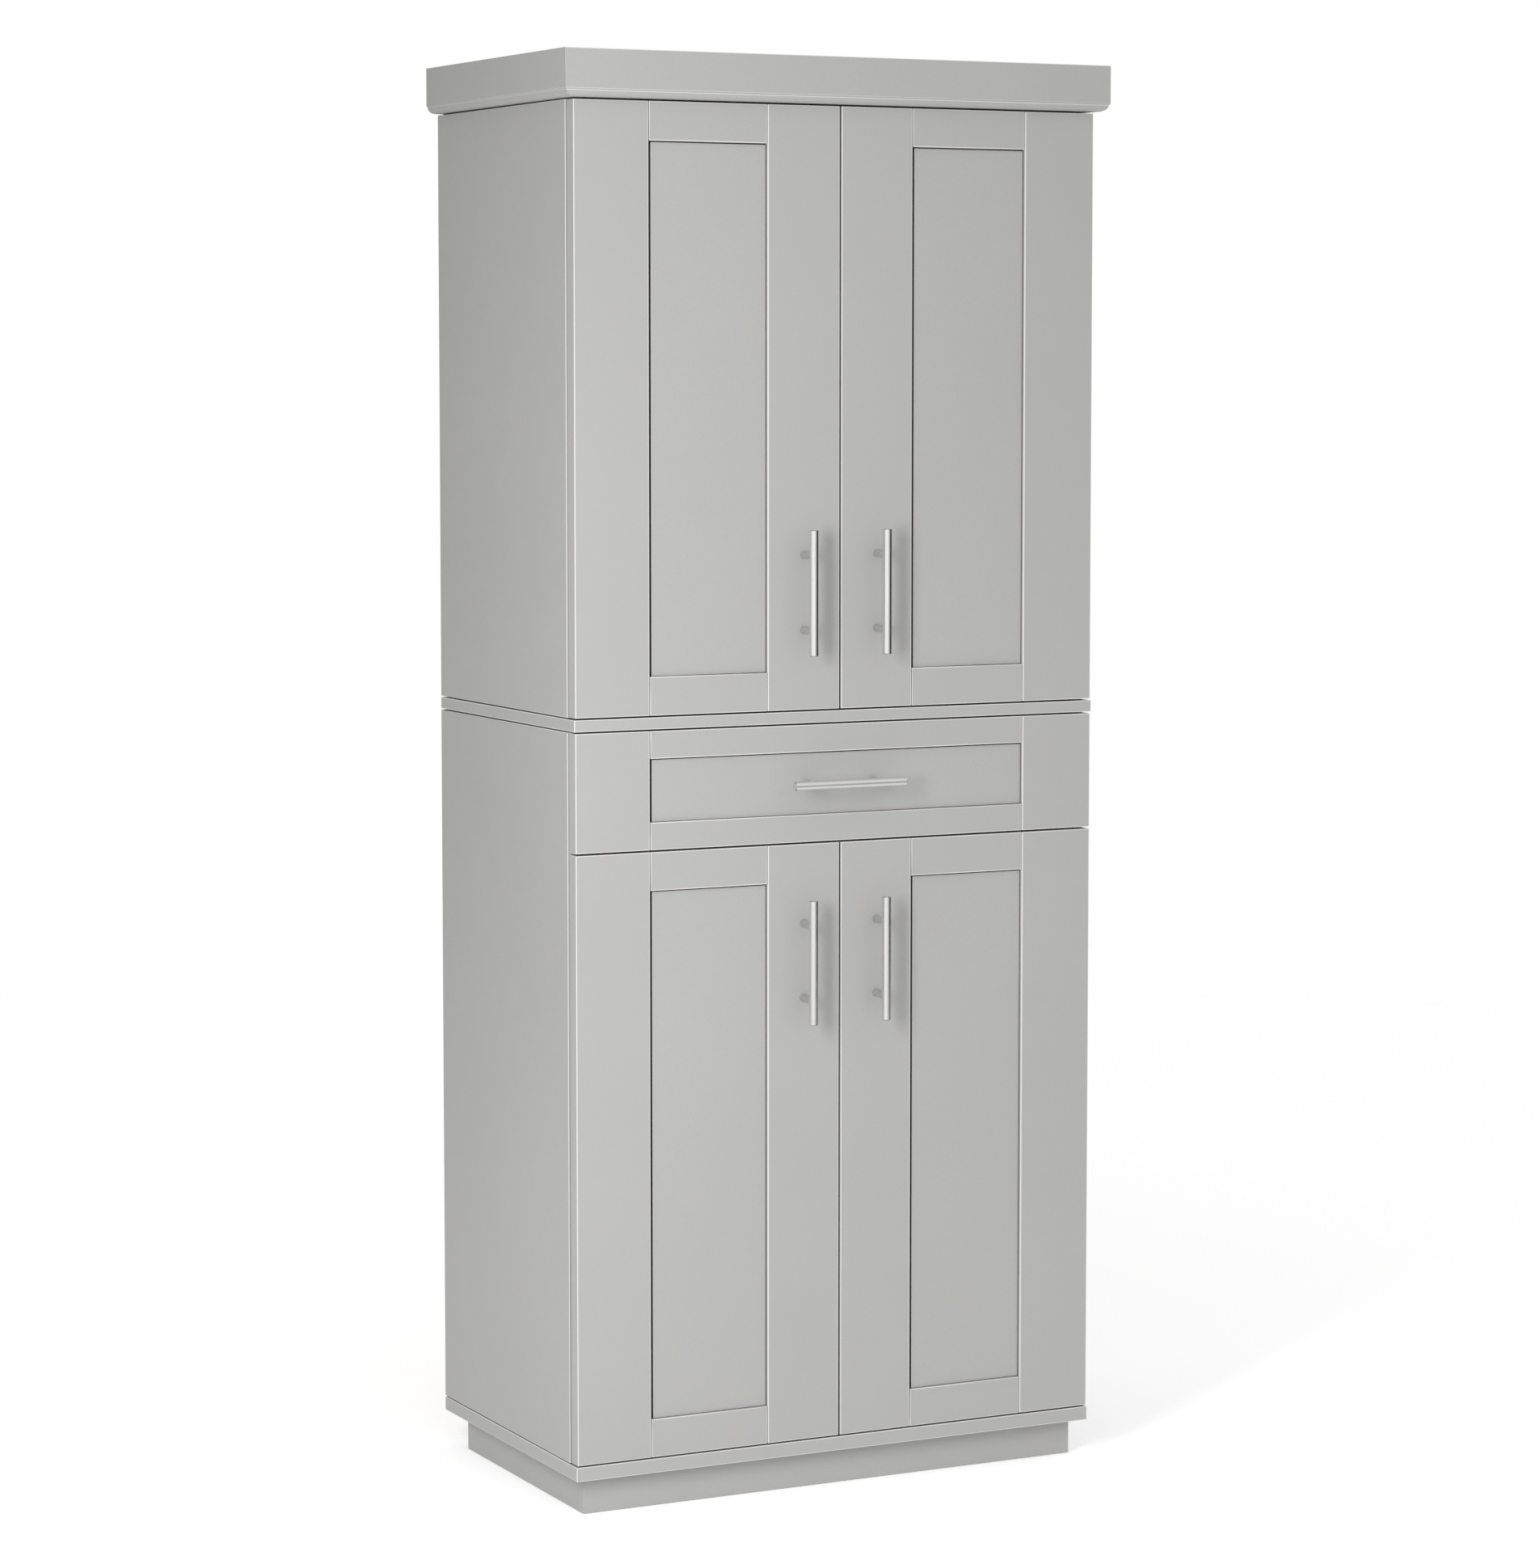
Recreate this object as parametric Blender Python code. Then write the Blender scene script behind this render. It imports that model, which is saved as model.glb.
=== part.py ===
"""Tall painted pantry cabinet: two upper doors, one drawer and two lower doors.

Metres, +Z up. The fronts face -Y, and the origin is on the floor, under the middle of the whole box.
Every board, front, hinge, runner and handle is its own closed solid. A moving piece hangs from an empty
that stands on its hinge line or on its runners.
"""

import math

import bmesh
import bpy
from mathutils import Matrix, Vector

# Outside sizes
HEIGHT = 1.840
HALF_WIDTH = 0.3725  # of the cabinet body
FACE_Y = -0.200  # plane of the door and drawer fronts
BACK_Y = 0.235

# Board thicknesses
SIDE_T = 0.016
SHELF_T = 0.016
FRONT_T = 0.019
BACK_T = 0.005
BOX_T = 0.012  # sides and back of the drawer box
CROWN_T = 0.024

# Gaps
FIT = 0.0003  # between pieces that are fixed together
BUMPER_GAP = 0.003  # between a closed front and the body behind it
EDGE_REVEAL = 0.0022  # above and below a front
SIDE_REVEAL = 0.0015  # from a front's outer edge to the body's side, and half of the gap between doors

# Levels, from the floor up
PLINTH_TOP = 0.047
BOTTOM_TOP = 0.065
LOWER_DOOR_TOP = 0.841
DRAWER_LOW = 0.8435
MIDDLE_LOW = 0.996
MIDDLE_TOP = 1.011
CROWN_LOW = 1.7807

# The body behind the fronts
BODY_Y = FACE_Y + FRONT_T + BUMPER_GAP
INNER_X = HALF_WIDTH - SIDE_T
REBATE_X = 0.008  # step in each side panel that takes the back panel
BACK_PANEL_Y = BACK_Y - BACK_T - 0.0005
DIVIDER_LOW = (LOWER_DOOR_TOP + DRAWER_LOW) / 2 - SHELF_T / 2
SHELF_SETBACK = 0.020
SHELF_PLAY = 0.001

# Recessed plinth
PLINTH_INSET_FRONT = 0.019
PLINTH_INSET_SIDE = 0.017
PLINTH_INSET_BACK = 0.038

# Crown
CROWN_OUT_SIDE = 0.016
CROWN_OUT_FRONT = 0.015
CROWN_ROUND_IN = 0.0123  # how far the rounded lower edge goes back
CROWN_ROUND_UP = 0.0130
CROWN_ROUND_STEPS = 4
CROWN_TOP_T = 0.016

# Framed fronts
STILE = 0.102
DOOR_RAIL = 0.049
DRAWER_RAIL = 0.035
PANEL_RECESS = 0.0065  # from the frame's face back to the panel
GROOVE_WIDE = 0.0065
GROOVE_DEEP = 0.008
PANEL_PLAY = 0.0005

# Bar handles
BAR_R = 0.006
BAR_LONG = 0.160
BAR_OUT = 0.029  # from the front's face to the bar's centre line
POST_R = 0.0045
POST_APART = 0.096
HANDLE_FROM_EDGE = 0.051
HANDLE_FROM_END = 0.150

# Concealed hinges
CUP_R = 0.0175
CUP_WALL = 0.001
CUP_DEEP = 0.011
CUP_RIM = 0.001
CUP_FROM_EDGE = 0.0225
POCKET_PLAY = 0.0005
HINGE_FROM_END = 0.090
ARM_NOSE_IN = 0.019  # from the door's outer edge to the side of the arm's nose
ARM_WIDE = 0.0145
ARM_HALF_TALL = 0.0065
ARM_INTO_CUP = 0.007
ARM_STEP = 0.018  # from the body's front to where the arm meets the side
ARM_TAIL = 0.010
ARM_TAPER = 0.003
PLATE_T = 0.002
PLATE_HALF_TALL = 0.024
PLATE_HALF_LONG = 0.016
PLATE_FROM_FRONT = 0.037

# Drawer box and runners
RUNNER_SPACE = 0.0127  # from the body's side to the drawer box
RUNNER_LONG = 0.350
RUNNER_SETBACK = 0.003
RUNNER_T = 0.0012
RAIL_HALF_TALL = 0.0225
RAIL_DEEP = 0.0095
SLIDE_HALF_TALL = 0.014
SLIDE_DEEP = 0.0085
BOX_LOW = 0.8653
BOX_TOP = 0.9753
BOX_LONG = 0.350
BOX_BOTTOM_T = 0.006
BOX_BOTTOM_UP = 0.002

CUP_SIDES = 24
POCKET_SIDES = 32
BAR_SIDES = 24

FINISHES = {
    "painted_wood": ((0.60, 0.59, 0.575, 1.0), 0.42, 0.0),
    "interior_board": ((0.66, 0.65, 0.63, 1.0), 0.50, 0.0),
    "drawer_ply": ((0.62, 0.46, 0.29, 1.0), 0.55, 0.0),
    "handle_metal": ((0.66, 0.65, 0.63, 1.0), 0.28, 1.0),
    "hinge_metal": ((0.58, 0.57, 0.55, 1.0), 0.22, 1.0),
    "runner_metal": ((0.50, 0.51, 0.52, 1.0), 0.35, 1.0),
}
SIDES = (("left", -1), ("right", 1))


def clear_scene():
    for obj in list(bpy.data.objects):
        bpy.data.objects.remove(obj, do_unlink=True)


def finish(slot):
    """The material of one slot, made the first time it is asked for."""
    if slot in bpy.data.materials:
        return bpy.data.materials[slot]
    color, roughness, metallic = FINISHES[slot]
    material = bpy.data.materials.new(slot)
    material.use_nodes = True
    shader = material.node_tree.nodes["Principled BSDF"]
    shader.inputs["Base Color"].default_value = color
    shader.inputs["Roughness"].default_value = roughness
    shader.inputs["Metallic"].default_value = metallic
    return material


def add_empty(name, location):
    """An empty that carries one moving assembly."""
    empty = bpy.data.objects.new(name, None)
    empty.location = location
    bpy.context.scene.collection.objects.link(empty)
    return empty


def add_object(name, bm, location, slot, parent=None):
    """A mesh object at a world location, hung from parent where there is one."""
    bmesh.ops.recalc_face_normals(bm, faces=bm.faces)
    mesh = bpy.data.meshes.new(name)
    bm.to_mesh(mesh)
    bm.free()
    obj = bpy.data.objects.new(name, mesh)
    bpy.context.scene.collection.objects.link(obj)
    obj.location = Vector(location)
    if parent is not None:
        obj.parent = parent
        obj.location -= parent.location
    if slot is not None:
        mesh.materials.append(finish(slot))
    return obj


def add_cutter(name, bm, location, parent=None):
    """A helper shape that cuts or joins another object and isn't part of the cabinet."""
    cutter = add_object(name, bm, location, None, parent)
    cutter.hide_render = True
    cutter.display_type = "WIRE"
    return cutter


def combine(obj, other, operation):
    modifier = obj.modifiers.new(other.name, "BOOLEAN")
    modifier.operation = operation
    modifier.solver = "EXACT"
    modifier.object = other


def box_mesh(size):
    """A box of the given size about its own middle."""
    bm = bmesh.new()
    bmesh.ops.create_cube(bm, size=1.0)
    bmesh.ops.scale(bm, vec=Vector(size), verts=bm.verts)
    return bm


def rod_mesh(radius, length, sides, along):
    """A closed rod about its own middle, along the unit vector given."""
    bm = bmesh.new()
    turn = Vector((0, 0, 1)).rotation_difference(Vector(along)).to_matrix().to_4x4()
    bmesh.ops.create_cone(
        bm, cap_ends=True, segments=sides, radius1=radius, radius2=radius, depth=length, matrix=turn
    )
    return bm


def prism_mesh(outline, low, high, along):
    """A prism with the flat outline given, from low to high along Y or Z.

    The outline's points are (x, z) for a prism along Y and (x, y) for one along Z.
    """
    bm = bmesh.new()

    def corner(first, second, height):
        return Vector((first, height, second) if along == "Y" else (first, second, height))

    face = bm.faces.new([bm.verts.new(corner(first, second, low)) for first, second in outline])
    grown = bmesh.ops.extrude_face_region(bm, geom=[face])["geom"]
    moved = [item for item in grown if isinstance(item, bmesh.types.BMVert)]
    bmesh.ops.translate(bm, verts=moved, vec=corner(0, 0, high - low))
    return bm


def board(name, x, y, z, slot="painted_wood", parent=None):
    """A rectangular board that fills the three (low, high) ranges given."""
    ranges = (x, y, z)
    middle = [(low + high) / 2 for low, high in ranges]
    size = [high - low for low, high in ranges]
    return add_object(name, box_mesh(size), middle, slot, parent)


def across(half):
    return (-half, half)


def make_plinth():
    front = FACE_Y + PLINTH_INSET_FRONT
    back = BACK_Y - PLINTH_INSET_BACK
    half = HALF_WIDTH - PLINTH_INSET_SIDE
    height = (0, PLINTH_TOP - FIT)
    board("plinth_front", across(half), (front, front + SIDE_T), height)
    board("plinth_back", across(half), (back - SIDE_T, back), height)
    for side, sign in SIDES:
        depth = (front + SIDE_T + FIT, back - SIDE_T - FIT)
        width = sorted((sign * half, sign * (half - SIDE_T)))
        board(f"plinth_{side}", width, depth, height)


def make_side_panel(name, sign, low, high):
    """A side panel with a rebate along its inner back edge for the back panel."""
    step_x = HALF_WIDTH - REBATE_X
    step_y = BACK_PANEL_Y - FIT
    outline = [
        (HALF_WIDTH, BODY_Y),
        (HALF_WIDTH, BACK_Y),
        (step_x, BACK_Y),
        (step_x, step_y),
        (INNER_X, step_y),
        (INNER_X, BODY_Y),
    ]
    middle = Vector((sign * (HALF_WIDTH - SIDE_T / 2), (BODY_Y + BACK_Y) / 2, (low + high) / 2))
    local = [(sign * x - middle.x, y - middle.y) for x, y in outline]
    half = (high - low) / 2
    add_object(name, prism_mesh(local, -half, half, "Z"), middle, "painted_wood")


def make_body():
    """The boards between the plinth and the crown."""
    board("bottom_board", across(HALF_WIDTH), (FACE_Y, BACK_Y), (PLINTH_TOP, BOTTOM_TOP))
    board("middle_board", across(HALF_WIDTH), (FACE_Y, BACK_Y), (MIDDLE_LOW, MIDDLE_TOP))
    for side, sign in SIDES:
        make_side_panel(f"lower_side_{side}", sign, BOTTOM_TOP + FIT, MIDDLE_LOW - FIT)
        make_side_panel(f"upper_side_{side}", sign, MIDDLE_TOP + FIT, CROWN_LOW - FIT)
    inside = across(INNER_X - FIT)
    depth = (BODY_Y, BACK_PANEL_Y - FIT)
    board("drawer_divider", inside, depth, (DIVIDER_LOW, DIVIDER_LOW + SHELF_T), "interior_board")
    between = across(HALF_WIDTH - REBATE_X - FIT)
    thick = (BACK_PANEL_Y, BACK_PANEL_Y + BACK_T)
    lower = (BOTTOM_TOP + FIT, MIDDLE_LOW - FIT)
    upper = (MIDDLE_TOP + FIT, HEIGHT - CROWN_TOP_T - FIT)
    board("lower_back_panel", between, thick, lower, "interior_board")
    board("upper_back_panel", between, thick, upper, "interior_board")


def make_shelf(name, low):
    wide = across(INNER_X - SHELF_PLAY)
    deep = (BODY_Y + SHELF_SETBACK, BACK_PANEL_Y - SHELF_PLAY)
    board(name, wide, deep, (low, low + SHELF_T), "interior_board")


def make_shelves():
    """Two loose shelves that part the upper space in three, and one that halves the lower space."""
    upper_step = (CROWN_LOW - MIDDLE_TOP - 2 * SHELF_T) / 3
    make_shelf("upper_shelf_low", MIDDLE_TOP + upper_step)
    make_shelf("upper_shelf_high", MIDDLE_TOP + 2 * upper_step + SHELF_T)
    make_shelf("lower_shelf", (BOTTOM_TOP + DIVIDER_LOW - SHELF_T) / 2)


def crown_section():
    """The crown moulding's section, as (outward, up) points: a board with a rounded lower outer edge."""
    tall = HEIGHT - CROWN_LOW
    points = [(-CROWN_T, 0)]
    for step in range(CROWN_ROUND_STEPS + 1):
        turn = math.pi / 2 * step / CROWN_ROUND_STEPS
        points.append((CROWN_ROUND_IN * (math.sin(turn) - 1), CROWN_ROUND_UP * (1 - math.cos(turn))))
    points.append((0, tall))
    points.append((-CROWN_T, tall))
    return points


def crown_mesh(half_long, start_mitred, end_mitred, trim):
    """A length of crown along X about its own middle, facing -Y, with its ends mitred or square."""
    bm = bmesh.new()
    ends = []
    for sign, mitred in ((-1, start_mitred), (1, end_mitred)):
        verts = []
        for out, up in crown_section():
            reach = half_long - trim + (out if mitred else 0)
            verts.append(bm.verts.new((sign * reach, -out, up)))
        ends.append(verts)
    first, last = ends
    count = len(first)
    bm.faces.new(first)
    bm.faces.new(last[::-1])
    for i in range(count):
        after = (i + 1) % count
        bm.faces.new((first[i], last[i], last[after], first[after]))
    return bm


def make_crown():
    """A box crown: three mouldings mitred round the top board, and a cover over them."""
    outer_x = HALF_WIDTH + CROWN_OUT_SIDE
    outer_y = FACE_Y - CROWN_OUT_FRONT
    front = crown_mesh(outer_x, True, True, FIT / 2)
    add_object("crown_front", front, (0, outer_y, CROWN_LOW), "painted_wood")
    middle_y = (outer_y + BACK_Y) / 2
    for side, sign in SIDES:
        half_long = (BACK_Y - outer_y) / 2
        mesh = crown_mesh(half_long, sign > 0, sign < 0, FIT / 2)
        quarter = Matrix.Rotation(sign * math.pi / 2, 3, "Z")
        bmesh.ops.rotate(mesh, verts=mesh.verts, cent=(0, 0, 0), matrix=quarter)
        # The trim at the square end is taken back, so that the moulding ends flush with the back.
        square = [vert for vert in mesh.verts if vert.co.y > half_long - FIT]
        bmesh.ops.translate(mesh, verts=square, vec=(0, FIT / 2, 0))
        add_object(f"crown_{side}", mesh, (sign * outer_x, middle_y, CROWN_LOW), "painted_wood")
    within = across(outer_x - CROWN_T - FIT)
    front_y = outer_y + CROWN_T + FIT
    board("top_board", within, (front_y, BACK_PANEL_Y - FIT), (CROWN_LOW, CROWN_LOW + SHELF_T))
    board("crown_top", within, (front_y, BACK_Y), (HEIGHT - CROWN_TOP_T, HEIGHT))


def make_framed_front(name, half_width, low, high, middle_x, rail, parent):
    """A front's frame with a grooved window, and the panel held in the groove."""
    half_tall = (high - low) / 2
    middle = Vector((middle_x, FACE_Y + FRONT_T / 2, (low + high) / 2))
    solid = box_mesh((2 * half_width, FRONT_T, 2 * half_tall))
    frame = add_object(f"{name}_frame", solid, middle, "painted_wood", parent)
    window_x = half_width - STILE
    window_z = half_tall - rail
    window = box_mesh((2 * window_x, 2 * FRONT_T, 2 * window_z))
    combine(frame, add_cutter(f"{name}_window", window, middle, parent), "DIFFERENCE")
    groove_y = FACE_Y + PANEL_RECESS + GROOVE_WIDE / 2
    groove = box_mesh((2 * (window_x + GROOVE_DEEP), GROOVE_WIDE, 2 * (window_z + GROOVE_DEEP)))
    place = (middle.x, groove_y, middle.z)
    combine(frame, add_cutter(f"{name}_groove", groove, place, parent), "DIFFERENCE")
    reach = GROOVE_DEEP - PANEL_PLAY
    panel = box_mesh((2 * (window_x + reach), GROOVE_WIDE - 2 * FIT, 2 * (window_z + reach)))
    add_object(f"{name}_panel", panel, place, "painted_wood", parent)


def make_handle(name, middle, along, parent):
    """A round bar on two posts, in front of the face."""
    direction = Vector(along)
    centre = Vector(middle) + Vector((0, -BAR_OUT, 0))
    bar = rod_mesh(BAR_R, BAR_LONG, BAR_SIDES, direction)
    handle = add_object(name, bar, centre, "handle_metal", parent)
    post_long = BAR_OUT - FIT
    for end in (-1, 1):
        post = rod_mesh(POST_R, post_long, BAR_SIDES, (0, 1, 0))
        place = centre + direction * (end * POST_APART / 2) + Vector((0, post_long / 2, 0))
        combine(handle, add_cutter(f"{name}_post_{end}", post, place, parent), "UNION")


def cup_mesh():
    """A hinge cup, turned about Y with its mouth towards +Y and its rim on the plane y = 0."""
    section = [
        (0, -CUP_DEEP),
        (CUP_R, -CUP_DEEP),
        (CUP_R, 0),
        (CUP_R + CUP_RIM, 0),
        (CUP_R + CUP_RIM, CUP_RIM),
        (CUP_R - CUP_WALL, CUP_RIM),
        (CUP_R - CUP_WALL, CUP_WALL - CUP_DEEP),
        (0, CUP_WALL - CUP_DEEP),
    ]
    bm = bmesh.new()
    verts = [bm.verts.new((radius, depth, 0)) for radius, depth in section]
    edges = [bm.edges.new(pair) for pair in zip(verts, verts[1:])]
    bmesh.ops.spin(
        bm, geom=verts + edges, cent=(0, 0, 0), axis=(0, 1, 0), angle=2 * math.pi, steps=CUP_SIDES,
        use_merge=True,
    )
    bmesh.ops.remove_doubles(bm, verts=bm.verts, dist=1e-6)
    return bm


def arm_outline(edge_x):
    """The hinge arm seen from above on the right-hand side: the nose, a step clear of the side, the tail."""
    nose_x = edge_x - ARM_NOSE_IN
    inner_x = nose_x - ARM_WIDE
    nose_y = FACE_Y + FRONT_T - ARM_INTO_CUP
    foot_x = INNER_X - FIT - PLATE_T / 2
    plate_y = BODY_Y + PLATE_FROM_FRONT
    tail_y = plate_y + PLATE_HALF_LONG + ARM_TAIL
    return [
        (inner_x, nose_y),
        (nose_x, nose_y),
        (nose_x, BODY_Y + ARM_STEP),
        (foot_x, BODY_Y + ARM_STEP + 0.006),
        (foot_x, tail_y),
        (inner_x + ARM_TAPER, tail_y),
        (inner_x, plate_y - ARM_TAIL),
    ]


def make_hinge(door, place, sign, edge_x, height, parent):
    """The cup in the door's stile and the arm on the body's side."""
    cup_x = sign * (edge_x - CUP_FROM_EDGE)
    face_y = FACE_Y + FRONT_T
    cup_name = f"{door}_cup_{place}"
    add_object(cup_name, cup_mesh(), (cup_x, face_y + FIT, height), "hinge_metal", parent)
    deep = CUP_DEEP + POCKET_PLAY
    pocket = rod_mesh(CUP_R + POCKET_PLAY, 2 * deep, POCKET_SIDES, (0, 1, 0))
    cutter = add_cutter(f"{cup_name}_pocket", pocket, (cup_x, face_y, height), parent)
    combine(bpy.data.objects[f"{door}_frame"], cutter, "DIFFERENCE")

    plate_y = BODY_Y + PLATE_FROM_FRONT
    origin = Vector((sign * (INNER_X - FIT), plate_y, height))
    local = [(sign * x - origin.x, y - origin.y) for x, y in arm_outline(edge_x)]
    arm = add_object(
        f"{door}_arm_{place}", prism_mesh(local, -ARM_HALF_TALL, ARM_HALF_TALL, "Z"), origin, "hinge_metal"
    )
    plate = box_mesh((PLATE_T, 2 * PLATE_HALF_LONG, 2 * PLATE_HALF_TALL))
    middle = origin - Vector((sign * PLATE_T / 2, 0, 0))
    combine(arm, add_cutter(f"{door}_plate_{place}", plate, middle), "UNION")


def make_door(level, side, sign, low, high, handle_z):
    """A door with its handle and hinges, hung from an empty on its hinge line."""
    door = f"{level}_door_{side}"
    edge_x = HALF_WIDTH - SIDE_REVEAL
    axis = add_empty(f"{door}_axis", (sign * edge_x, FACE_Y, low))
    half_width = (edge_x - SIDE_REVEAL) / 2
    middle_x = sign * (SIDE_REVEAL + half_width)
    make_framed_front(door, half_width, low, high, middle_x, DOOR_RAIL, axis)
    handle_x = sign * (SIDE_REVEAL + HANDLE_FROM_EDGE)
    make_handle(f"{door}_handle", (handle_x, FACE_Y, handle_z), (0, 0, 1), axis)
    for place, height in (("low", low + HINGE_FROM_END), ("high", high - HINGE_FROM_END)):
        make_hinge(door, place, sign, edge_x, height, axis)


def make_doors():
    upper_low = MIDDLE_TOP + EDGE_REVEAL
    upper_high = CROWN_LOW - EDGE_REVEAL
    lower_low = BOTTOM_TOP + EDGE_REVEAL
    for side, sign in SIDES:
        make_door("upper", side, sign, upper_low, upper_high, upper_low + HANDLE_FROM_END)
        make_door("lower", side, sign, lower_low, LOWER_DOOR_TOP, LOWER_DOOR_TOP - HANDLE_FROM_END)


def runner_section(sign, web_x, reach, half_tall):
    """A channel's section in x and z: its web at web_x, its flanges towards web_x + reach."""
    step = math.copysign(RUNNER_T, reach)
    points = [
        (web_x, -half_tall),
        (web_x + reach, -half_tall),
        (web_x + reach, RUNNER_T - half_tall),
        (web_x + step, RUNNER_T - half_tall),
        (web_x + step, half_tall - RUNNER_T),
        (web_x + reach, half_tall - RUNNER_T),
        (web_x + reach, half_tall),
        (web_x, half_tall),
    ]
    return [(sign * x, z) for x, z in points]


def make_runners(slides):
    """A channel on each side of the body, and the one inside it on the drawer box."""
    middle_z = (BOX_LOW + BOX_TOP) / 2
    middle_y = BODY_Y + RUNNER_SETBACK + RUNNER_LONG / 2
    half = RUNNER_LONG / 2
    for side, sign in SIDES:
        rail_x = INNER_X - FIT
        rail = prism_mesh(runner_section(sign, 0, -RAIL_DEEP, RAIL_HALF_TALL), -half, half, "Y")
        add_object(f"runner_rail_{side}", rail, (sign * rail_x, middle_y, middle_z), "runner_metal")
        slide_x = INNER_X - RUNNER_SPACE + FIT
        slide = prism_mesh(runner_section(sign, 0, SLIDE_DEEP, SLIDE_HALF_TALL), -half, half, "Y")
        place = (sign * slide_x, middle_y, middle_z)
        add_object(f"runner_slide_{side}", slide, place, "runner_metal", slides)


def make_drawer():
    """The drawer front, its box and its handle, hung from an empty between the runners."""
    slides = add_empty("drawer_slides", (0, FACE_Y, (BOX_LOW + BOX_TOP) / 2))
    high = MIDDLE_LOW - EDGE_REVEAL
    make_framed_front("drawer_front", HALF_WIDTH - SIDE_REVEAL, DRAWER_LOW, high, 0, DRAWER_RAIL, slides)
    make_handle("drawer_handle", (0, FACE_Y, (DRAWER_LOW + high) / 2), (1, 0, 0), slides)
    outer = INNER_X - RUNNER_SPACE
    start = FACE_Y + FRONT_T + FIT
    end = start + BOX_LONG
    for side, sign in SIDES:
        wide = sorted((sign * outer, sign * (outer - BOX_T)))
        board(f"drawer_side_{side}", wide, (start, end), (BOX_LOW, BOX_TOP), "drawer_ply", slides)
    inside = across(outer - BOX_T - FIT)
    bottom_low = BOX_LOW + BOX_BOTTOM_UP
    bottom_top = bottom_low + BOX_BOTTOM_T
    board("drawer_bottom", inside, (start, end), (bottom_low, bottom_top), "drawer_ply", slides)
    board("drawer_back", inside, (end - BOX_T, end), (bottom_top + FIT, BOX_TOP), "drawer_ply", slides)
    make_runners(slides)


def main():
    clear_scene()
    make_plinth()
    make_body()
    make_shelves()
    make_crown()
    make_doors()
    make_drawer()


main()
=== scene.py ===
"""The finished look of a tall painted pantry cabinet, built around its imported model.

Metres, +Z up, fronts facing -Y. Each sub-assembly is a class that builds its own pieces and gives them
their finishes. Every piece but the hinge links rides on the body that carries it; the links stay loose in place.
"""

import logging
import math
from dataclasses import dataclass
from enum import Enum
from typing import Callable, ClassVar, Iterable, Sequence

import bmesh
import bpy
from mathutils import Matrix, Vector


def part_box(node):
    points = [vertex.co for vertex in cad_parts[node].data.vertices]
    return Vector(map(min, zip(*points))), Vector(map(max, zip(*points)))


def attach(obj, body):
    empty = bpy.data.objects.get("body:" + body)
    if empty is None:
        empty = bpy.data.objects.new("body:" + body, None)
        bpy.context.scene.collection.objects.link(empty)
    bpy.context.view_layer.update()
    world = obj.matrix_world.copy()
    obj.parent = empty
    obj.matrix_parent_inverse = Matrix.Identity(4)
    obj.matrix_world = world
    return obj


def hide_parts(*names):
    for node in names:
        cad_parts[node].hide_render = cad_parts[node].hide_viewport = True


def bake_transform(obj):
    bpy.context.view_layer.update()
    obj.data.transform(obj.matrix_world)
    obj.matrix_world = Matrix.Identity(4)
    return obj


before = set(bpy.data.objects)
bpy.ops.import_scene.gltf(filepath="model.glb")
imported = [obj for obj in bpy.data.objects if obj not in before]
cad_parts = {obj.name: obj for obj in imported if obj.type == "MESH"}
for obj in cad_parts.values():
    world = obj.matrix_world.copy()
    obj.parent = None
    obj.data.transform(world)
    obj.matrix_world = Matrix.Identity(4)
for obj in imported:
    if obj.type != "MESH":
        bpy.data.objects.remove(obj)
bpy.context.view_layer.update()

LOG = logging.getLogger("pantry")

Colour = tuple[float, float, float]
Point = tuple[float, float]
EdgeRule = Callable[[bmesh.types.BMEdge], float]

EASE_UNIT = 0.004  # an edge weight of 1 eases an edge by this much
EASE_PROFILE = 0.72  # a little squarer than a quarter round
SHARP = math.radians(30)
NEAR = 1e-5  # closer than this, two places are the same
CLEAR = 0.0003  # the play left where one part is let into another


class Axis(Enum):
    """A direction of the cabinet."""

    X = 0
    Y = 1
    Z = 2

    @property
    def unit(self) -> Vector:
        """The unit vector along this direction."""
        return Vector([1.0 if i == self.value else 0.0 for i in range(3)])

    def turn_from_z(self) -> Matrix:
        """The turn that lays +Z along this direction."""
        return Vector((0, 0, 1)).rotation_difference(self.unit).to_matrix().to_4x4()


class Side(Enum):
    """Left or right, as seen from the front."""

    LEFT = ("left", -1)
    RIGHT = ("right", 1)

    @property
    def word(self) -> str:
        """The word used in piece names."""
        return self.value[0]

    @property
    def sign(self) -> int:
        """-1 on the left, 1 on the right."""
        return self.value[1]


class Carrier(Enum):
    """The bodies that carry the pieces."""

    CABINET = "cabinet"
    DRAWER = "drawer"


# ---------------------------------------------------------------- shaping


def box(low: Sequence[float], high: Sequence[float]) -> bmesh.types.BMesh:
    """A box between two corners.

    Args:
        low: lowest corner.
        high: highest corner.

    Returns:
        A new bmesh.
    """
    bm = bmesh.new()
    low, high = Vector(low), Vector(high)
    place = Matrix.Translation((low + high) / 2) @ Matrix.Diagonal((*(high - low), 1.0))
    bmesh.ops.create_cube(bm, size=1.0, matrix=place)
    return bm


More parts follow.
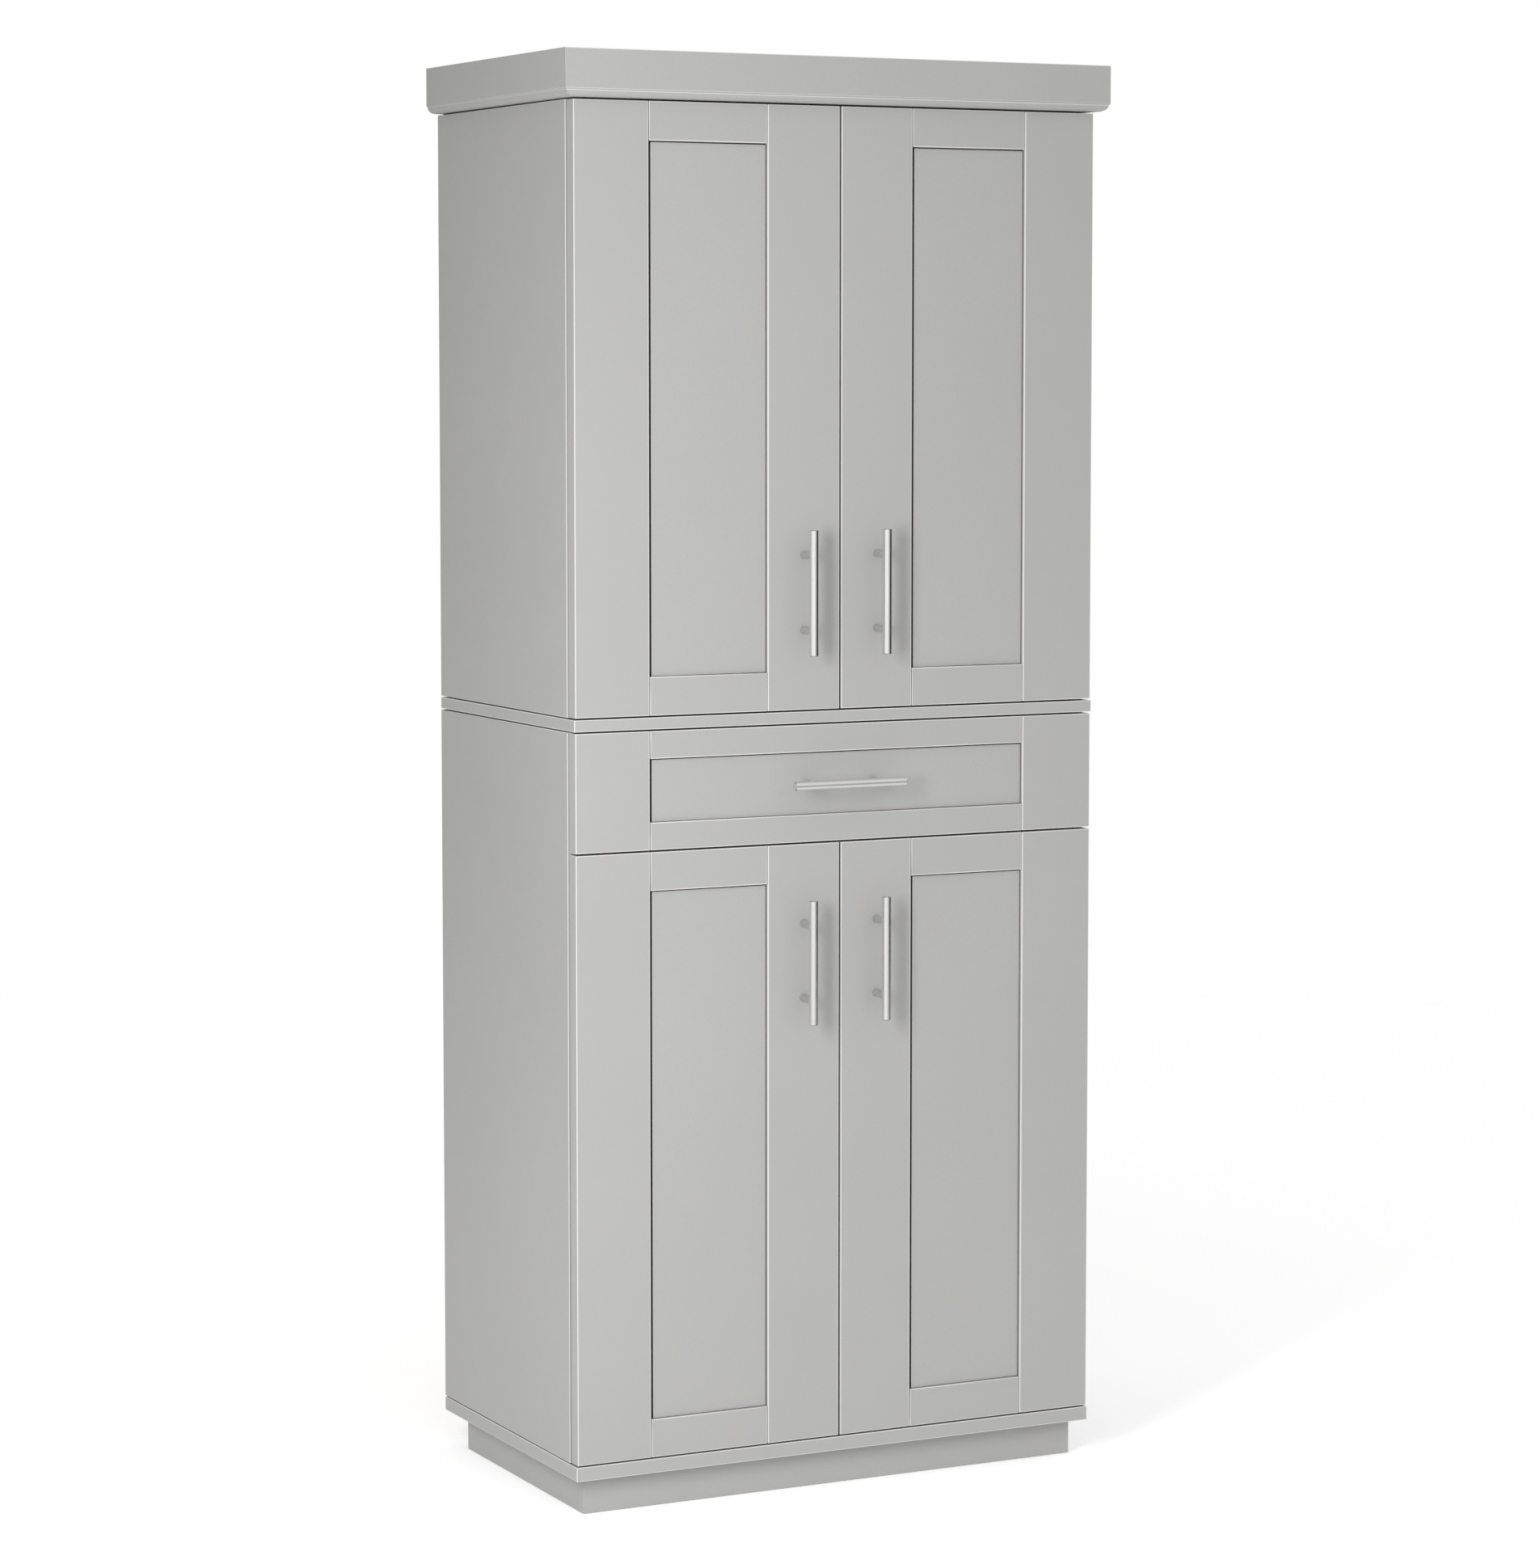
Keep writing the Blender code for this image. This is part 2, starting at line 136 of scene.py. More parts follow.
def prism(outline: Sequence[Point], low: float, high: float, along: Axis) -> bmesh.types.BMesh:
    """A flat outline drawn out along one direction.

    Args:
        outline: points in the two other directions, in X, Y, Z order.
        low: where the prism starts.
        high: where it ends.
        along: the direction it runs in.

    Returns:
        A new bmesh.
    """
    bm = bmesh.new()

    def corner(first: float, second: float) -> Vector:
        """The outline's point at the start of the prism.

        Args:
            first: the point's first number.
            second: its second number.

        Returns:
            The point in space.
        """
        values = [first, second]
        values.insert(along.value, low)
        return Vector(values)

    face = bm.faces.new([bm.verts.new(corner(*point)) for point in outline])
    grown = bmesh.ops.extrude_face_region(bm, geom=[face])["geom"]
    ends = [item for item in grown if isinstance(item, bmesh.types.BMVert)]
    bmesh.ops.translate(bm, verts=ends, vec=along.unit * (high - low))
    bmesh.ops.recalc_face_normals(bm, faces=bm.faces)
    return bm


def lathe(profile: Sequence[Point], steps: int, along: Axis, centre: Sequence[float]) -> bmesh.types.BMesh:
    """A turned shape.

    Args:
        profile: (radius, distance along the axis) points that start and end on the axis.
        steps: steps of the full turn.
        along: the axis that it is turned about.
        centre: where distance 0 of the profile is.

    Returns:
        A new bmesh.
    """
    bm = bmesh.new()
    verts = [bm.verts.new((radius, 0.0, reach)) for radius, reach in profile]
    edges = [bm.edges.new(pair) for pair in zip(verts, verts[1:])]
    bmesh.ops.spin(
        bm, geom=verts + edges, cent=(0, 0, 0), axis=(0, 0, 1), angle=math.tau, steps=steps, use_merge=True,
        use_duplicate=False,
    )
    bmesh.ops.remove_doubles(bm, verts=bm.verts, dist=1e-6)
    bmesh.ops.transform(bm, matrix=Matrix.Translation(centre) @ along.turn_from_z(), verts=bm.verts)
    bmesh.ops.recalc_face_normals(bm, faces=bm.faces)
    for face in bm.faces:
        face.smooth = True
    return bm


def rod(radius: float, low: float, high: float, along: Axis, centre: Sequence[float], steps: int = 24,
        chamfer: float = 0.0) -> bmesh.types.BMesh:
    """A round bar whose ends may be chamfered.

    Args:
        radius: its radius.
        low: where it starts, from centre.
        high: where it ends, from centre.
        along: its direction.
        centre: a point of its axis.
        steps: steps of the turn.
        chamfer: size of the chamfer at both ends.

    Returns:
        A new bmesh.
    """
    if chamfer:
        inner = radius - chamfer
        profile = [(0, low), (inner, low), (radius, low + chamfer), (radius, high - chamfer), (inner, high),
                   (0, high)]
    else:
        profile = [(0, low), (radius, low), (radius, high), (0, high)]
    return lathe(profile, steps, along, centre)


def merge(shapes: Iterable[bmesh.types.BMesh]) -> bmesh.types.BMesh:
    """Several shapes as one bmesh. The ones given are freed.

    Args:
        shapes: the bmeshes to join.

    Returns:
        One new bmesh.
    """
    whole = bmesh.new()
    for shape in shapes:
        mesh = bpy.data.meshes.new("loose")
        shape.to_mesh(mesh)
        shape.free()
        whole.from_mesh(mesh)
        bpy.data.meshes.remove(mesh)
    return whole


def combine(shape: bmesh.types.BMesh, others: Sequence[bmesh.types.BMesh], cut: bool = True) -> bmesh.types.BMesh:
    """Cuts shapes out of one, or joins them to it.

    Args:
        shape: the shape that is worked on. It is freed.
        others: the cutters, or the shapes to join. They are freed.
        cut: whether to cut rather than join.

    Returns:
        The new shape.
    """
    if not others:
        return shape
    holders = []
    for source in (shape, merge(others)):
        mesh = bpy.data.meshes.new("loose")
        source.to_mesh(mesh)
        source.free()
        holder = bpy.data.objects.new("loose", mesh)
        bpy.context.scene.collection.objects.link(holder)
        holders.append(holder)
    modifier = holders[0].modifiers.new("combine", "BOOLEAN")
    modifier.operation = "DIFFERENCE" if cut else "UNION"
    modifier.solver = "EXACT"
    modifier.use_self = not cut
    modifier.object = holders[1]
    result = bmesh.new()
    result.from_object(holders[0], bpy.context.evaluated_depsgraph_get())
    for holder in holders:
        mesh = holder.data
        bpy.data.objects.remove(holder)
        bpy.data.meshes.remove(mesh)
    bmesh.ops.remove_doubles(result, verts=result.verts, dist=2e-6)
    return result


def all_round(width: float) -> EdgeRule:
    """A rule that eases every sharp edge alike."""
    return lambda edge: width


def keep_sharp(edge: bmesh.types.BMEdge) -> float:
    """A rule that eases nothing."""
    return 0.0


def middle_of(edge: bmesh.types.BMEdge) -> Vector:
    """An edge's midpoint."""
    return (edge.verts[0].co + edge.verts[1].co) / 2


def runs_along(edge: bmesh.types.BMEdge) -> Axis | None:
    """The direction an edge runs in, or None where it is slanted.

    Args:
        edge: an edge of the shape.

    Returns:
        The axis, or None.
    """
    line = (edge.verts[1].co - edge.verts[0].co).normalized()
    for axis in Axis:
        if abs(line[axis.value]) > 0.999:
            return axis
    return None


def make_piece(
    name: str,
    shape: bmesh.types.BMesh,
    body: str,
    finishes: Sequence["Finish"],
    stands_for: Sequence[str] = (),
    ease: EdgeRule = keep_sharp,
    segments: int = 2,
    blend_to: tuple[str, Sequence[float], Sequence[float]] | None = None,
) -> bpy.types.Object:
    """Turns a finished shape into a piece that rides on its body, or one left in place on no body where blend_to is
    given.

    Args:
        name: the piece's name.
        shape: its closed mesh, which is freed.
        body: the body that carries it.
        finishes: its finishes. The second one, where there is one, goes on the eased edges.
        stands_for: model nodes that the piece replaces.
        ease: the rule that says how wide each sharp edge is eased.
        segments: segments across an eased edge.
        blend_to: (other body, start, end); where it is given, the piece is left in place on no body. Its values are
            not used.

    Returns:
        The object.
    """
    bmesh.ops.remove_doubles(shape, verts=shape.verts, dist=1e-6)
    bmesh.ops.recalc_face_normals(shape, faces=shape.faces)
    weights = shape.edges.layers.float.new("bevel_weight_edge")
    eased = False
    for edge in shape.edges:
        if len(edge.link_faces) != 2 or edge.calc_face_angle(0.0) < SHARP:
            continue
        width = ease(edge)
        if width > 0:
            edge[weights] = min(1.0, width / EASE_UNIT)
            eased = True
        else:
            edge.smooth = False
    for face in shape.faces:
        face.smooth = True
    mesh = bpy.data.meshes.new(name)
    shape.to_mesh(mesh)
    shape.free()
    piece = bpy.data.objects.new(name, mesh)
    bpy.context.scene.collection.objects.link(piece)
    for finish in finishes:
        mesh.materials.append(finish.material())
    if eased:
        bevel = piece.modifiers.new("ease", "BEVEL")
        bevel.limit_method = "WEIGHT"
        bevel.width = EASE_UNIT
        bevel.segments = segments
        bevel.profile = EASE_PROFILE
        # the second finish goes on the eased faces; on most pieces it is a lighter copy that paints a highlight
        # there
        bevel.material = 1 if len(finishes) > 1 else -1
        bevel.harden_normals = True
        bevel.use_clamp_overlap = True
    if blend_to:
        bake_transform(piece)
    else:
        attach(piece, body)
    if stands_for:
        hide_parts(*stands_for)
    LOG.info("%s on %s: %d faces", name, body, len(mesh.polygons))
    return piece


# ---------------------------------------------------------------- finishes


class Recipe:
    """A material whose nodes are being wired."""

    def __init__(self, name: str) -> None:
        """Starts a material with its own shader and object coordinates.

        Args:
            name: what the material is called.
        """
        self.material = bpy.data.materials.new(name)
        self.material.use_nodes = True
        self.tree = self.material.node_tree
        self.shader = self.tree.nodes["Principled BSDF"]
        self.place = self.tree.nodes.new("ShaderNodeTexCoord").outputs["Object"]

    def stretched(self, scale: Sequence[float]) -> bpy.types.NodeSocket:
        """Object coordinates, scaled apart in each direction.

        Args:
            scale: the factors in X, Y and Z.

        Returns:
            The scaled coordinates.
        """
        mapping = self.tree.nodes.new("ShaderNodeMapping")
        mapping.inputs["Scale"].default_value = scale
        self.tree.links.new(self.place, mapping.inputs["Vector"])
        return mapping.outputs["Vector"]

    def noise(self, scale: float, detail: float = 2.0, rough: float = 0.5,
              stretch: Sequence[float] | None = None) -> bpy.types.NodeSocket:
        """A noise pattern.

        Args:
            scale: cells per metre.
            detail: octaves.
            rough: how strong the finer octaves are.
            stretch: scale in each direction, where it isn't even.

        Returns:
            The pattern's value, around 0.5.
        """
        node = self.tree.nodes.new("ShaderNodeTexNoise")
        node.inputs["Scale"].default_value = scale
        node.inputs["Detail"].default_value = detail
        node.inputs["Roughness"].default_value = rough
        self.tree.links.new(self.stretched(stretch) if stretch else self.place, node.inputs["Vector"])
        return node.outputs["Fac"]

    def bands(self, axis: Axis, scale: float, wander: float) -> bpy.types.NodeSocket:
        """Parallel bands across one direction.

        Args:
            axis: the direction that they follow each other in.
            scale: the wave's scale.
            wander: how far they stray.

        Returns:
            The wave's value, from 0 to 1.
        """
        node = self.tree.nodes.new("ShaderNodeTexWave")
        node.bands_direction = axis.name
        node.inputs["Scale"].default_value = scale
        node.inputs["Distortion"].default_value = wander
        node.inputs["Detail"].default_value = 2.0
        node.inputs["Detail Scale"].default_value = 0.6
        self.tree.links.new(self.place, node.inputs["Vector"])
        return node.outputs["Fac"]

    def spread(self, value: bpy.types.NodeSocket, start: float, end: float, low: float | bpy.types.NodeSocket,
               high: float) -> bpy.types.NodeSocket:
        """Maps start..end of a value to low..high, and holds it there.

        Args:
            value: the value to map.
            start: the value that gives low.
            end: the value that gives high.
            low: a number, or a socket that gives it.
            high: the other end of the result.

        Returns:
            The mapped value.
        """
        node = self.tree.nodes.new("ShaderNodeMapRange")
        for socket, number in zip(("From Min", "From Max", "To Min", "To Max"), (start, end, low, high)):
            if isinstance(number, bpy.types.NodeSocket):
                self.tree.links.new(number, node.inputs[socket])
            else:
                node.inputs[socket].default_value = number
        self.tree.links.new(value, node.inputs["Value"])
        return node.outputs["Result"]

    def blend_colours(self, amount: bpy.types.NodeSocket, first: Colour | bpy.types.NodeSocket,
                      second: Colour | bpy.types.NodeSocket) -> bpy.types.NodeSocket:
        """Blends two colours, each a colour or a socket, by an amount.

        Args:
            amount: 0 for the first colour, 1 for the second.
            first: a colour or a socket.
            second: a colour or a socket.

        Returns:
            The blended colour.
        """
        node = self.tree.nodes.new("ShaderNodeMix")
        node.data_type = "RGBA"
        self.tree.links.new(amount, node.inputs["Factor"])
        for socket, source in zip((node.inputs[6], node.inputs[7]), (first, second)):
            if isinstance(source, tuple):
                socket.default_value = (*source, 1.0)
            else:
                self.tree.links.new(source, socket)
        return node.outputs[2]

    def bump(self, layers: Sequence[tuple[bpy.types.NodeSocket, float, float]]) -> None:
        """Stacks bump layers, each (height, strength, depth in metres), and gives them to the shader.

        Args:
            layers: each layer's height, strength and depth, the lowest first.
        """
        below = None
        for height, strength, depth in layers:
            node = self.tree.nodes.new("ShaderNodeBump")
            node.inputs["Strength"].default_value = strength
            node.inputs["Distance"].default_value = depth
            self.tree.links.new(height, node.inputs["Height"])
            if below is not None:
                self.tree.links.new(below, node.inputs["Normal"])
            below = node.outputs["Normal"]
        self.tree.links.new(below, self.shader.inputs["Normal"])

    def feed(self, socket: str, value: bpy.types.NodeSocket) -> None:
        """Links a value to one of the shader's sockets."""
        self.tree.links.new(value, self.shader.inputs[socket])

    def fix(self, socket: str, value: float) -> None:
        """Sets one of the shader's sockets."""
        self.shader.inputs[socket].default_value = value


@dataclass(frozen=True)
class Finish:
    """A surface finish, made into a material the first time it is used."""

    name: str
    colour: Colour
    made: ClassVar[dict[str, bpy.types.Material]] = {}

    def material(self) -> bpy.types.Material:
        """The finish's material.

        Returns:
            The material, made on the first call and kept.
        """
        if self.name not in Finish.made:
            recipe = Recipe(self.name)
            self.wire(recipe)
            Finish.made[self.name] = recipe.material
        return Finish.made[self.name]

    def shade(self, factor: float) -> Colour:
        """The finish's colour, lighter or darker."""
        return tuple(min(1.0, channel * factor) for channel in self.colour)

    def wire(self, recipe: Recipe) -> None:
        """Wires the material's nodes."""
        raise NotImplementedError


@dataclass(frozen=True)
class Paint(Finish):
    """Sprayed satin paint: faint clouding, fine orange peel, a few specks."""

    roughness: float = 0.40
    cloud: float = 0.022
    speck: float = 0.06

    def wire(self, recipe: Recipe) -> None:
        """Wires the material's nodes.

        Args:
            recipe: the material whose nodes are being wired.
        """
        cloud = recipe.spread(recipe.noise(3.1, 3.0, 0.55), 0.3, 0.7, 0.0, 1.0)
        base = recipe.blend_colours(cloud, self.shade(1 - self.cloud), self.shade(1 + self.cloud))
        warm = (self.colour[0] * 1.012, self.colour[1], self.colour[2] * 0.975)
        drift = recipe.spread(recipe.noise(9.0, 2.0, 0.5), 0.35, 0.75, 0.0, 0.7)
        tinted = recipe.blend_colours(drift, base, warm)
        grit = recipe.spread(recipe.noise(640.0, 2.0, 0.7), 0.50, 0.78, 0.0, 1.0)
        recipe.feed("Base Color", recipe.blend_colours(grit, tinted, self.shade(1 - self.speck)))
        gloss = recipe.noise(22.0, 3.0, 0.6)
        recipe.feed("Roughness", recipe.spread(gloss, 0.3, 0.7, self.roughness - 0.035, self.roughness + 0.045))
        recipe.bump([
            (recipe.noise(34.0, 1.0, 0.4), 0.10, 0.0006),
            (recipe.noise(520.0, 2.0, 0.6), 0.16, 0.00012),
        ])
        recipe.fix("IOR", 1.46)
        recipe.fix("Specular IOR Level", 0.4)


@dataclass(frozen=True)
class Laminate(Finish):
    """Matte paper laminate with a fine pressed grain."""

    grain: Axis = Axis.Z

    def wire(self, recipe: Recipe) -> None:
        """Wires the material's nodes.

        Args:
            recipe: the material whose nodes are being wired.
        """
        stretch = [420.0, 420.0, 420.0]
        stretch[self.grain.value] = 14.0
        fibre = recipe.noise(1.0, 3.0, 0.6, stretch)
        base = recipe.blend_colours(recipe.spread(fibre, 0.3, 0.7, 0.0, 1.0), self.shade(0.965), self.shade(1.03))
        cloud = recipe.spread(recipe.noise(5.0, 3.0, 0.5), 0.35, 0.7, 0.0, 0.5)
        recipe.feed("Base Color", recipe.blend_colours(cloud, base, self.shade(0.97)))
        recipe.feed("Roughness", recipe.spread(recipe.noise(30.0, 2.0, 0.5), 0.3, 0.7, 0.48, 0.58))
        recipe.bump([(fibre, 0.18, 0.00012)])
        recipe.fix("IOR", 1.45)


@dataclass(frozen=True)
class Veneer(Finish):
    """Lacquered plywood face: long grain with darker growth lines."""

    grain: Axis = Axis.Y
    across: Axis = Axis.Z

    def wire(self, recipe: Recipe) -> None:
        """Wires the material's nodes.

        Args:
            recipe: the material whose nodes are being wired.
        """
        long_grain = [95.0, 95.0, 95.0]
        long_grain[self.grain.value] = 2.2
        pores = [900.0, 900.0, 900.0]
        pores[self.grain.value] = 26.0
        rings = recipe.noise(1.0, 4.0, 0.62, long_grain)
        base = recipe.blend_colours(recipe.spread(rings, 0.32, 0.70, 0.0, 1.0), self.shade(0.80), self.shade(1.12))
        flame = recipe.spread(recipe.bands(self.across, 9.0, 7.0), 0.62, 1.0, 0.0, 0.35)
        figured = recipe.blend_colours(flame, base, self.shade(0.74))
        pore = recipe.noise(1.0, 2.0, 0.5, pores)
        recipe.feed("Base Color", recipe.blend_colours(recipe.spread(pore, 0.60, 0.72, 0.0, 0.5), figured,
                                                       self.shade(0.62)))
        recipe.feed("Roughness", recipe.spread(rings, 0.3, 0.7, 0.44, 0.56))
        recipe.bump([(pore, 0.25, 0.00015)])


@dataclass(frozen=True)
class PlyEdge(Finish):
    """A sawn plywood edge: light and dark plies in turn."""

    across: Axis = Axis.X

    def wire(self, recipe: Recipe) -> None:
        """Wires the material's nodes.

        Args:
            recipe: the material whose nodes are being wired.
        """
        plies = recipe.spread(recipe.bands(self.across, 130.0, 0.6), 0.35, 0.65, 0.0, 1.0)
        base = recipe.blend_colours(plies, self.shade(0.62), self.shade(1.1))
        fibre = recipe.noise(700.0, 3.0, 0.7)
        recipe.feed("Base Color", recipe.blend_colours(recipe.spread(fibre, 0.5, 0.75, 0.0, 0.6), base,
                                                       self.shade(0.5)))
        recipe.feed("Roughness", recipe.spread(fibre, 0.3, 0.7, 0.58, 0.72))
        recipe.bump([(fibre, 0.35, 0.0002)])


@dataclass(frozen=True)
class Hardboard(Finish):
    """The raw outer face of a pressed fibre back panel."""

    def wire(self, recipe: Recipe) -> None:
        """Wires the material's nodes.

        Args:
            recipe: the material whose nodes are being wired.
        """
        mottle = recipe.noise(160.0, 4.0, 0.65)
        base = recipe.blend_colours(recipe.spread(mottle, 0.3, 0.7, 0.0, 1.0), self.shade(0.78), self.shade(1.18))
        stain = recipe.spread(recipe.noise(4.0, 4.0, 0.6), 0.4, 0.7, 0.0, 0.6)
        recipe.feed("Base Color", recipe.blend_colours(stain, base, self.shade(0.86)))
        recipe.feed("Roughness", recipe.spread(mottle, 0.3, 0.7, 0.62, 0.78))
        mesh_mark = recipe.noise(1.0, 1.0, 0.4, (900.0, 900.0, 900.0))
        recipe.bump([(mesh_mark, 0.30, 0.0002), (mottle, 0.15, 0.0002)])


@dataclass(frozen=True)
class Metal(Finish):
    """Plated metal, brushed along one direction or left plain."""

    roughness: float = 0.26
    brushed: Axis | None = None
    mottle: float = 0.05

    def wire(self, recipe: Recipe) -> None:
        """Wires the material's nodes.

        Args:
            recipe: the material whose nodes are being wired.
        """
        stretch = [1500.0, 1500.0, 1500.0]
        if self.brushed:
            stretch[self.brushed.value] = 16.0
        lines = recipe.noise(1.0, 3.0, 0.6, stretch)
        smudge = recipe.noise(70.0, 3.0, 0.6)
        base = recipe.blend_colours(recipe.spread(lines, 0.3, 0.7, 0.0, 1.0), self.shade(1 - self.mottle),
                                    self.shade(1 + self.mottle))
        recipe.feed("Base Color", recipe.blend_colours(recipe.spread(smudge, 0.45, 0.75, 0.0, 0.4), base,
                                                       self.shade(0.93)))
        recipe.feed("Roughness", recipe.spread(smudge, 0.3, 0.7, self.roughness - 0.03, self.roughness + 0.05))
        recipe.bump([(lines, 0.07, 0.00002)])
        recipe.fix("Metallic", 1.0)


@dataclass(frozen=True)
class Plastic(Finish):
    """Moulded plastic with a faint texture."""

    roughness: float = 0.35
    milky: float = 0.0

    def wire(self, recipe: Recipe) -> None:
        """Wires the material's nodes.

        Args:
            recipe: the material whose nodes are being wired.
        """
        grain = recipe.noise(800.0, 2.0, 0.5)
        tone = recipe.spread(recipe.noise(120.0, 2.0, 0.5), 0.3, 0.7, 0.0, 1.0)
        recipe.feed("Base Color", recipe.blend_colours(tone, self.shade(0.96), self.shade(1.04)))
        recipe.feed("Roughness", recipe.spread(grain, 0.3, 0.7, self.roughness - 0.05, self.roughness + 0.08))
        recipe.bump([(grain, 0.12, 0.0001)])
        recipe.fix("Transmission Weight", self.milky)


GREY = (0.413, 0.4125, 0.4065)
PAINT = Paint("satin_grey_paint", GREY)
# a lighter copy of the grey paint for the eased edges: a painted highlight where the edges catch the light
EDGE_HIGHLIGHT_PAINT = Paint("satin_grey_arris", (0.68, 0.68, 0.67), roughness=0.34)
# near-black paint for the channels round the panels: painted shade in the recess
CHANNEL_SHADE_PAINT = Paint("grey_in_channels", (0.10, 0.099, 0.095), roughness=0.55)
# the grey paint, with the painted edge highlight as its second finish
PAINT_WITH_EDGE_HIGHLIGHT = (PAINT, EDGE_HIGHLIGHT_PAINT)
INSIDE = Laminate("inside_laminate", (0.43, 0.428, 0.415))
INSIDE_EDGE = Paint("inside_edge_band", (0.50, 0.498, 0.482), roughness=0.45)
BACKING = Hardboard("raw_hardboard", (0.27, 0.185, 0.115))
PLY_LONG = Veneer("birch_face_long", (0.60, 0.45, 0.29), Axis.Y, Axis.Z)
PLY_WIDE = Veneer("birch_face_wide", (0.60, 0.45, 0.29), Axis.X, Axis.Z)
PLY_FLOOR = Veneer("birch_face_floor", (0.58, 0.44, 0.29), Axis.X, Axis.Y)
PLY_EDGE_X = PlyEdge("birch_edge_sides", (0.52, 0.38, 0.23), Axis.X)
PLY_EDGE_Y = PlyEdge("birch_edge_back", (0.52, 0.38, 0.23), Axis.Y)
NICKEL_UPRIGHT = Metal("satin_nickel_upright", (0.84, 0.835, 0.825), 0.20, Axis.Z)
NICKEL_LEVEL = Metal("satin_nickel_level", (0.84, 0.835, 0.825), 0.20, Axis.X)
# darker copies of the bar's nickel: painted shade on the end chamfers and on the posts
NICKEL_CHAMFER_SHADE = Metal("satin_nickel_chamfer", (0.46, 0.46, 0.455), 0.24)
NICKEL_POST_SHADE = Metal("satin_nickel_post", (0.72, 0.72, 0.715), 0.28)
PLATE = Metal("bright_nickel_plate", (0.68, 0.67, 0.65), 0.17)
# a lighter copy of the plating for the eased edges: a painted edge highlight
PLATE_EDGE_HIGHLIGHT = Metal("bright_nickel_edge", (0.76, 0.75, 0.73), 0.14)
ZINC = Metal("zinc_plate", (0.55, 0.56, 0.575), 0.33, Axis.Y)
# a lighter copy of the zinc for the eased edges: a painted edge highlight
ZINC_EDGE_HIGHLIGHT = Metal("zinc_edge", (0.66, 0.67, 0.68), 0.28, Axis.Y)
SCREW_STEEL = Metal("screw_steel", (0.45, 0.45, 0.46), 0.30)
BALL_STEEL = Metal("ball_steel", (0.70, 0.70, 0.71), 0.08)
CAP_PLASTIC = Plastic("cap_plastic", (0.62, 0.62, 0.60), 0.40)
BUFFER_PLASTIC = Plastic("clear_buffer", (0.80, 0.82, 0.82), 0.22, 0.5)
CAGE_PLASTIC = Plastic("ball_cage", (0.06, 0.06, 0.065), 0.45)


# ---------------------------------------------------------------- small hardware


@dataclass(frozen=True)
class Screw:
    """A screw head with a cross recess."""

    radius: float = 0.0036
    proud: float = 0.0009
    cross: float = 0.0011

    def head(self, at: Sequence[float], facing: Axis, sense: int) -> bmesh.types.BMesh:
        """The head, standing on a surface.

        Args:
            at: where the surface is, under the head's middle.
            facing: the direction it stands out in.
            sense: 1 or -1 along that direction.

        Returns:
            Its shape.
        """
        r, h = self.radius, self.proud
        under = -0.0004
        dome = lathe([(0, under), (r, under), (r, 0.35 * h), (0.86 * r, 0.8 * h), (0.5 * r, h), (0, h)], 16,
                     Axis.Z, (0, 0, 0))
        half, arm = self.cross / 2, 0.62 * r
        slots = [box((-arm, -half, 0.25 * h), (arm, half, 3 * h)), box((-half, -arm, 0.25 * h), (half, arm, 3 * h))]
        head = combine(dome, [combine(slots[0], [slots[1]], cut=False)])
        aim = Vector((0, 0, 1)).rotation_difference(facing.unit * sense).to_matrix().to_4x4()
        bmesh.ops.transform(head, matrix=Matrix.Translation(at) @ aim, verts=head.verts)
        return head


HANDLE_SCREW = Screw(0.0045, 0.0019, 0.0013)


@dataclass(frozen=True)
class BarHandle:
    """A round bar on two posts."""

    bar_r: float = 0.006
    post_r: float = 0.0047
    apart: float = 0.096
    chamfer: float = 0.0009
    sides: int = 56

    def build(self, name: str, node: str, along: Axis, body: str) -> None:
        """Builds the handle where its model node is, with its fixing screws' heads behind the front.

        Args:
            name: the piece's name.
            node: the model node that it stands for.
            along: the bar's direction.
            body: the body that carries it.
        """
        low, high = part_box(node)
        centre = (low + high) / 2
        axis_y = low.y + self.bar_r
        half = (high - low)[along.value] / 2
        core = Vector((centre.x, axis_y, centre.z))
        bar = rod(self.bar_r, -half, half, along, core, self.sides, self.chamfer)
        posts = []
        reach = high.y - axis_y
        for end in (-1, 1):
            foot = core + along.unit * (end * self.apart / 2)
            profile = [(0, 0.0), (self.post_r, 0.0), (self.post_r, reach - 0.0016),
                       (self.post_r + 0.0004, reach - 0.0006), (self.post_r + 0.0004, reach), (0, reach)]
            posts.append(lathe(profile, 36, Axis.Y, foot))
        steel = NICKEL_UPRIGHT if along is Axis.Z else NICKEL_LEVEL
        shape = combine(bar, posts, cut=False)
        # the posts and the end chamfers take darker copies of the nickel, a painted shade
        for face in shape.faces:
            slant = abs(face.normal.dot(along.unit))
            if face.calc_center_median().y > axis_y + self.bar_r:
                face.material_index = 2
            elif 0.3 < slant < 0.95:
                face.material_index = 1
        make_piece(name, shape, body, (steel, NICKEL_CHAMFER_SHADE, NICKEL_POST_SHADE), [node])


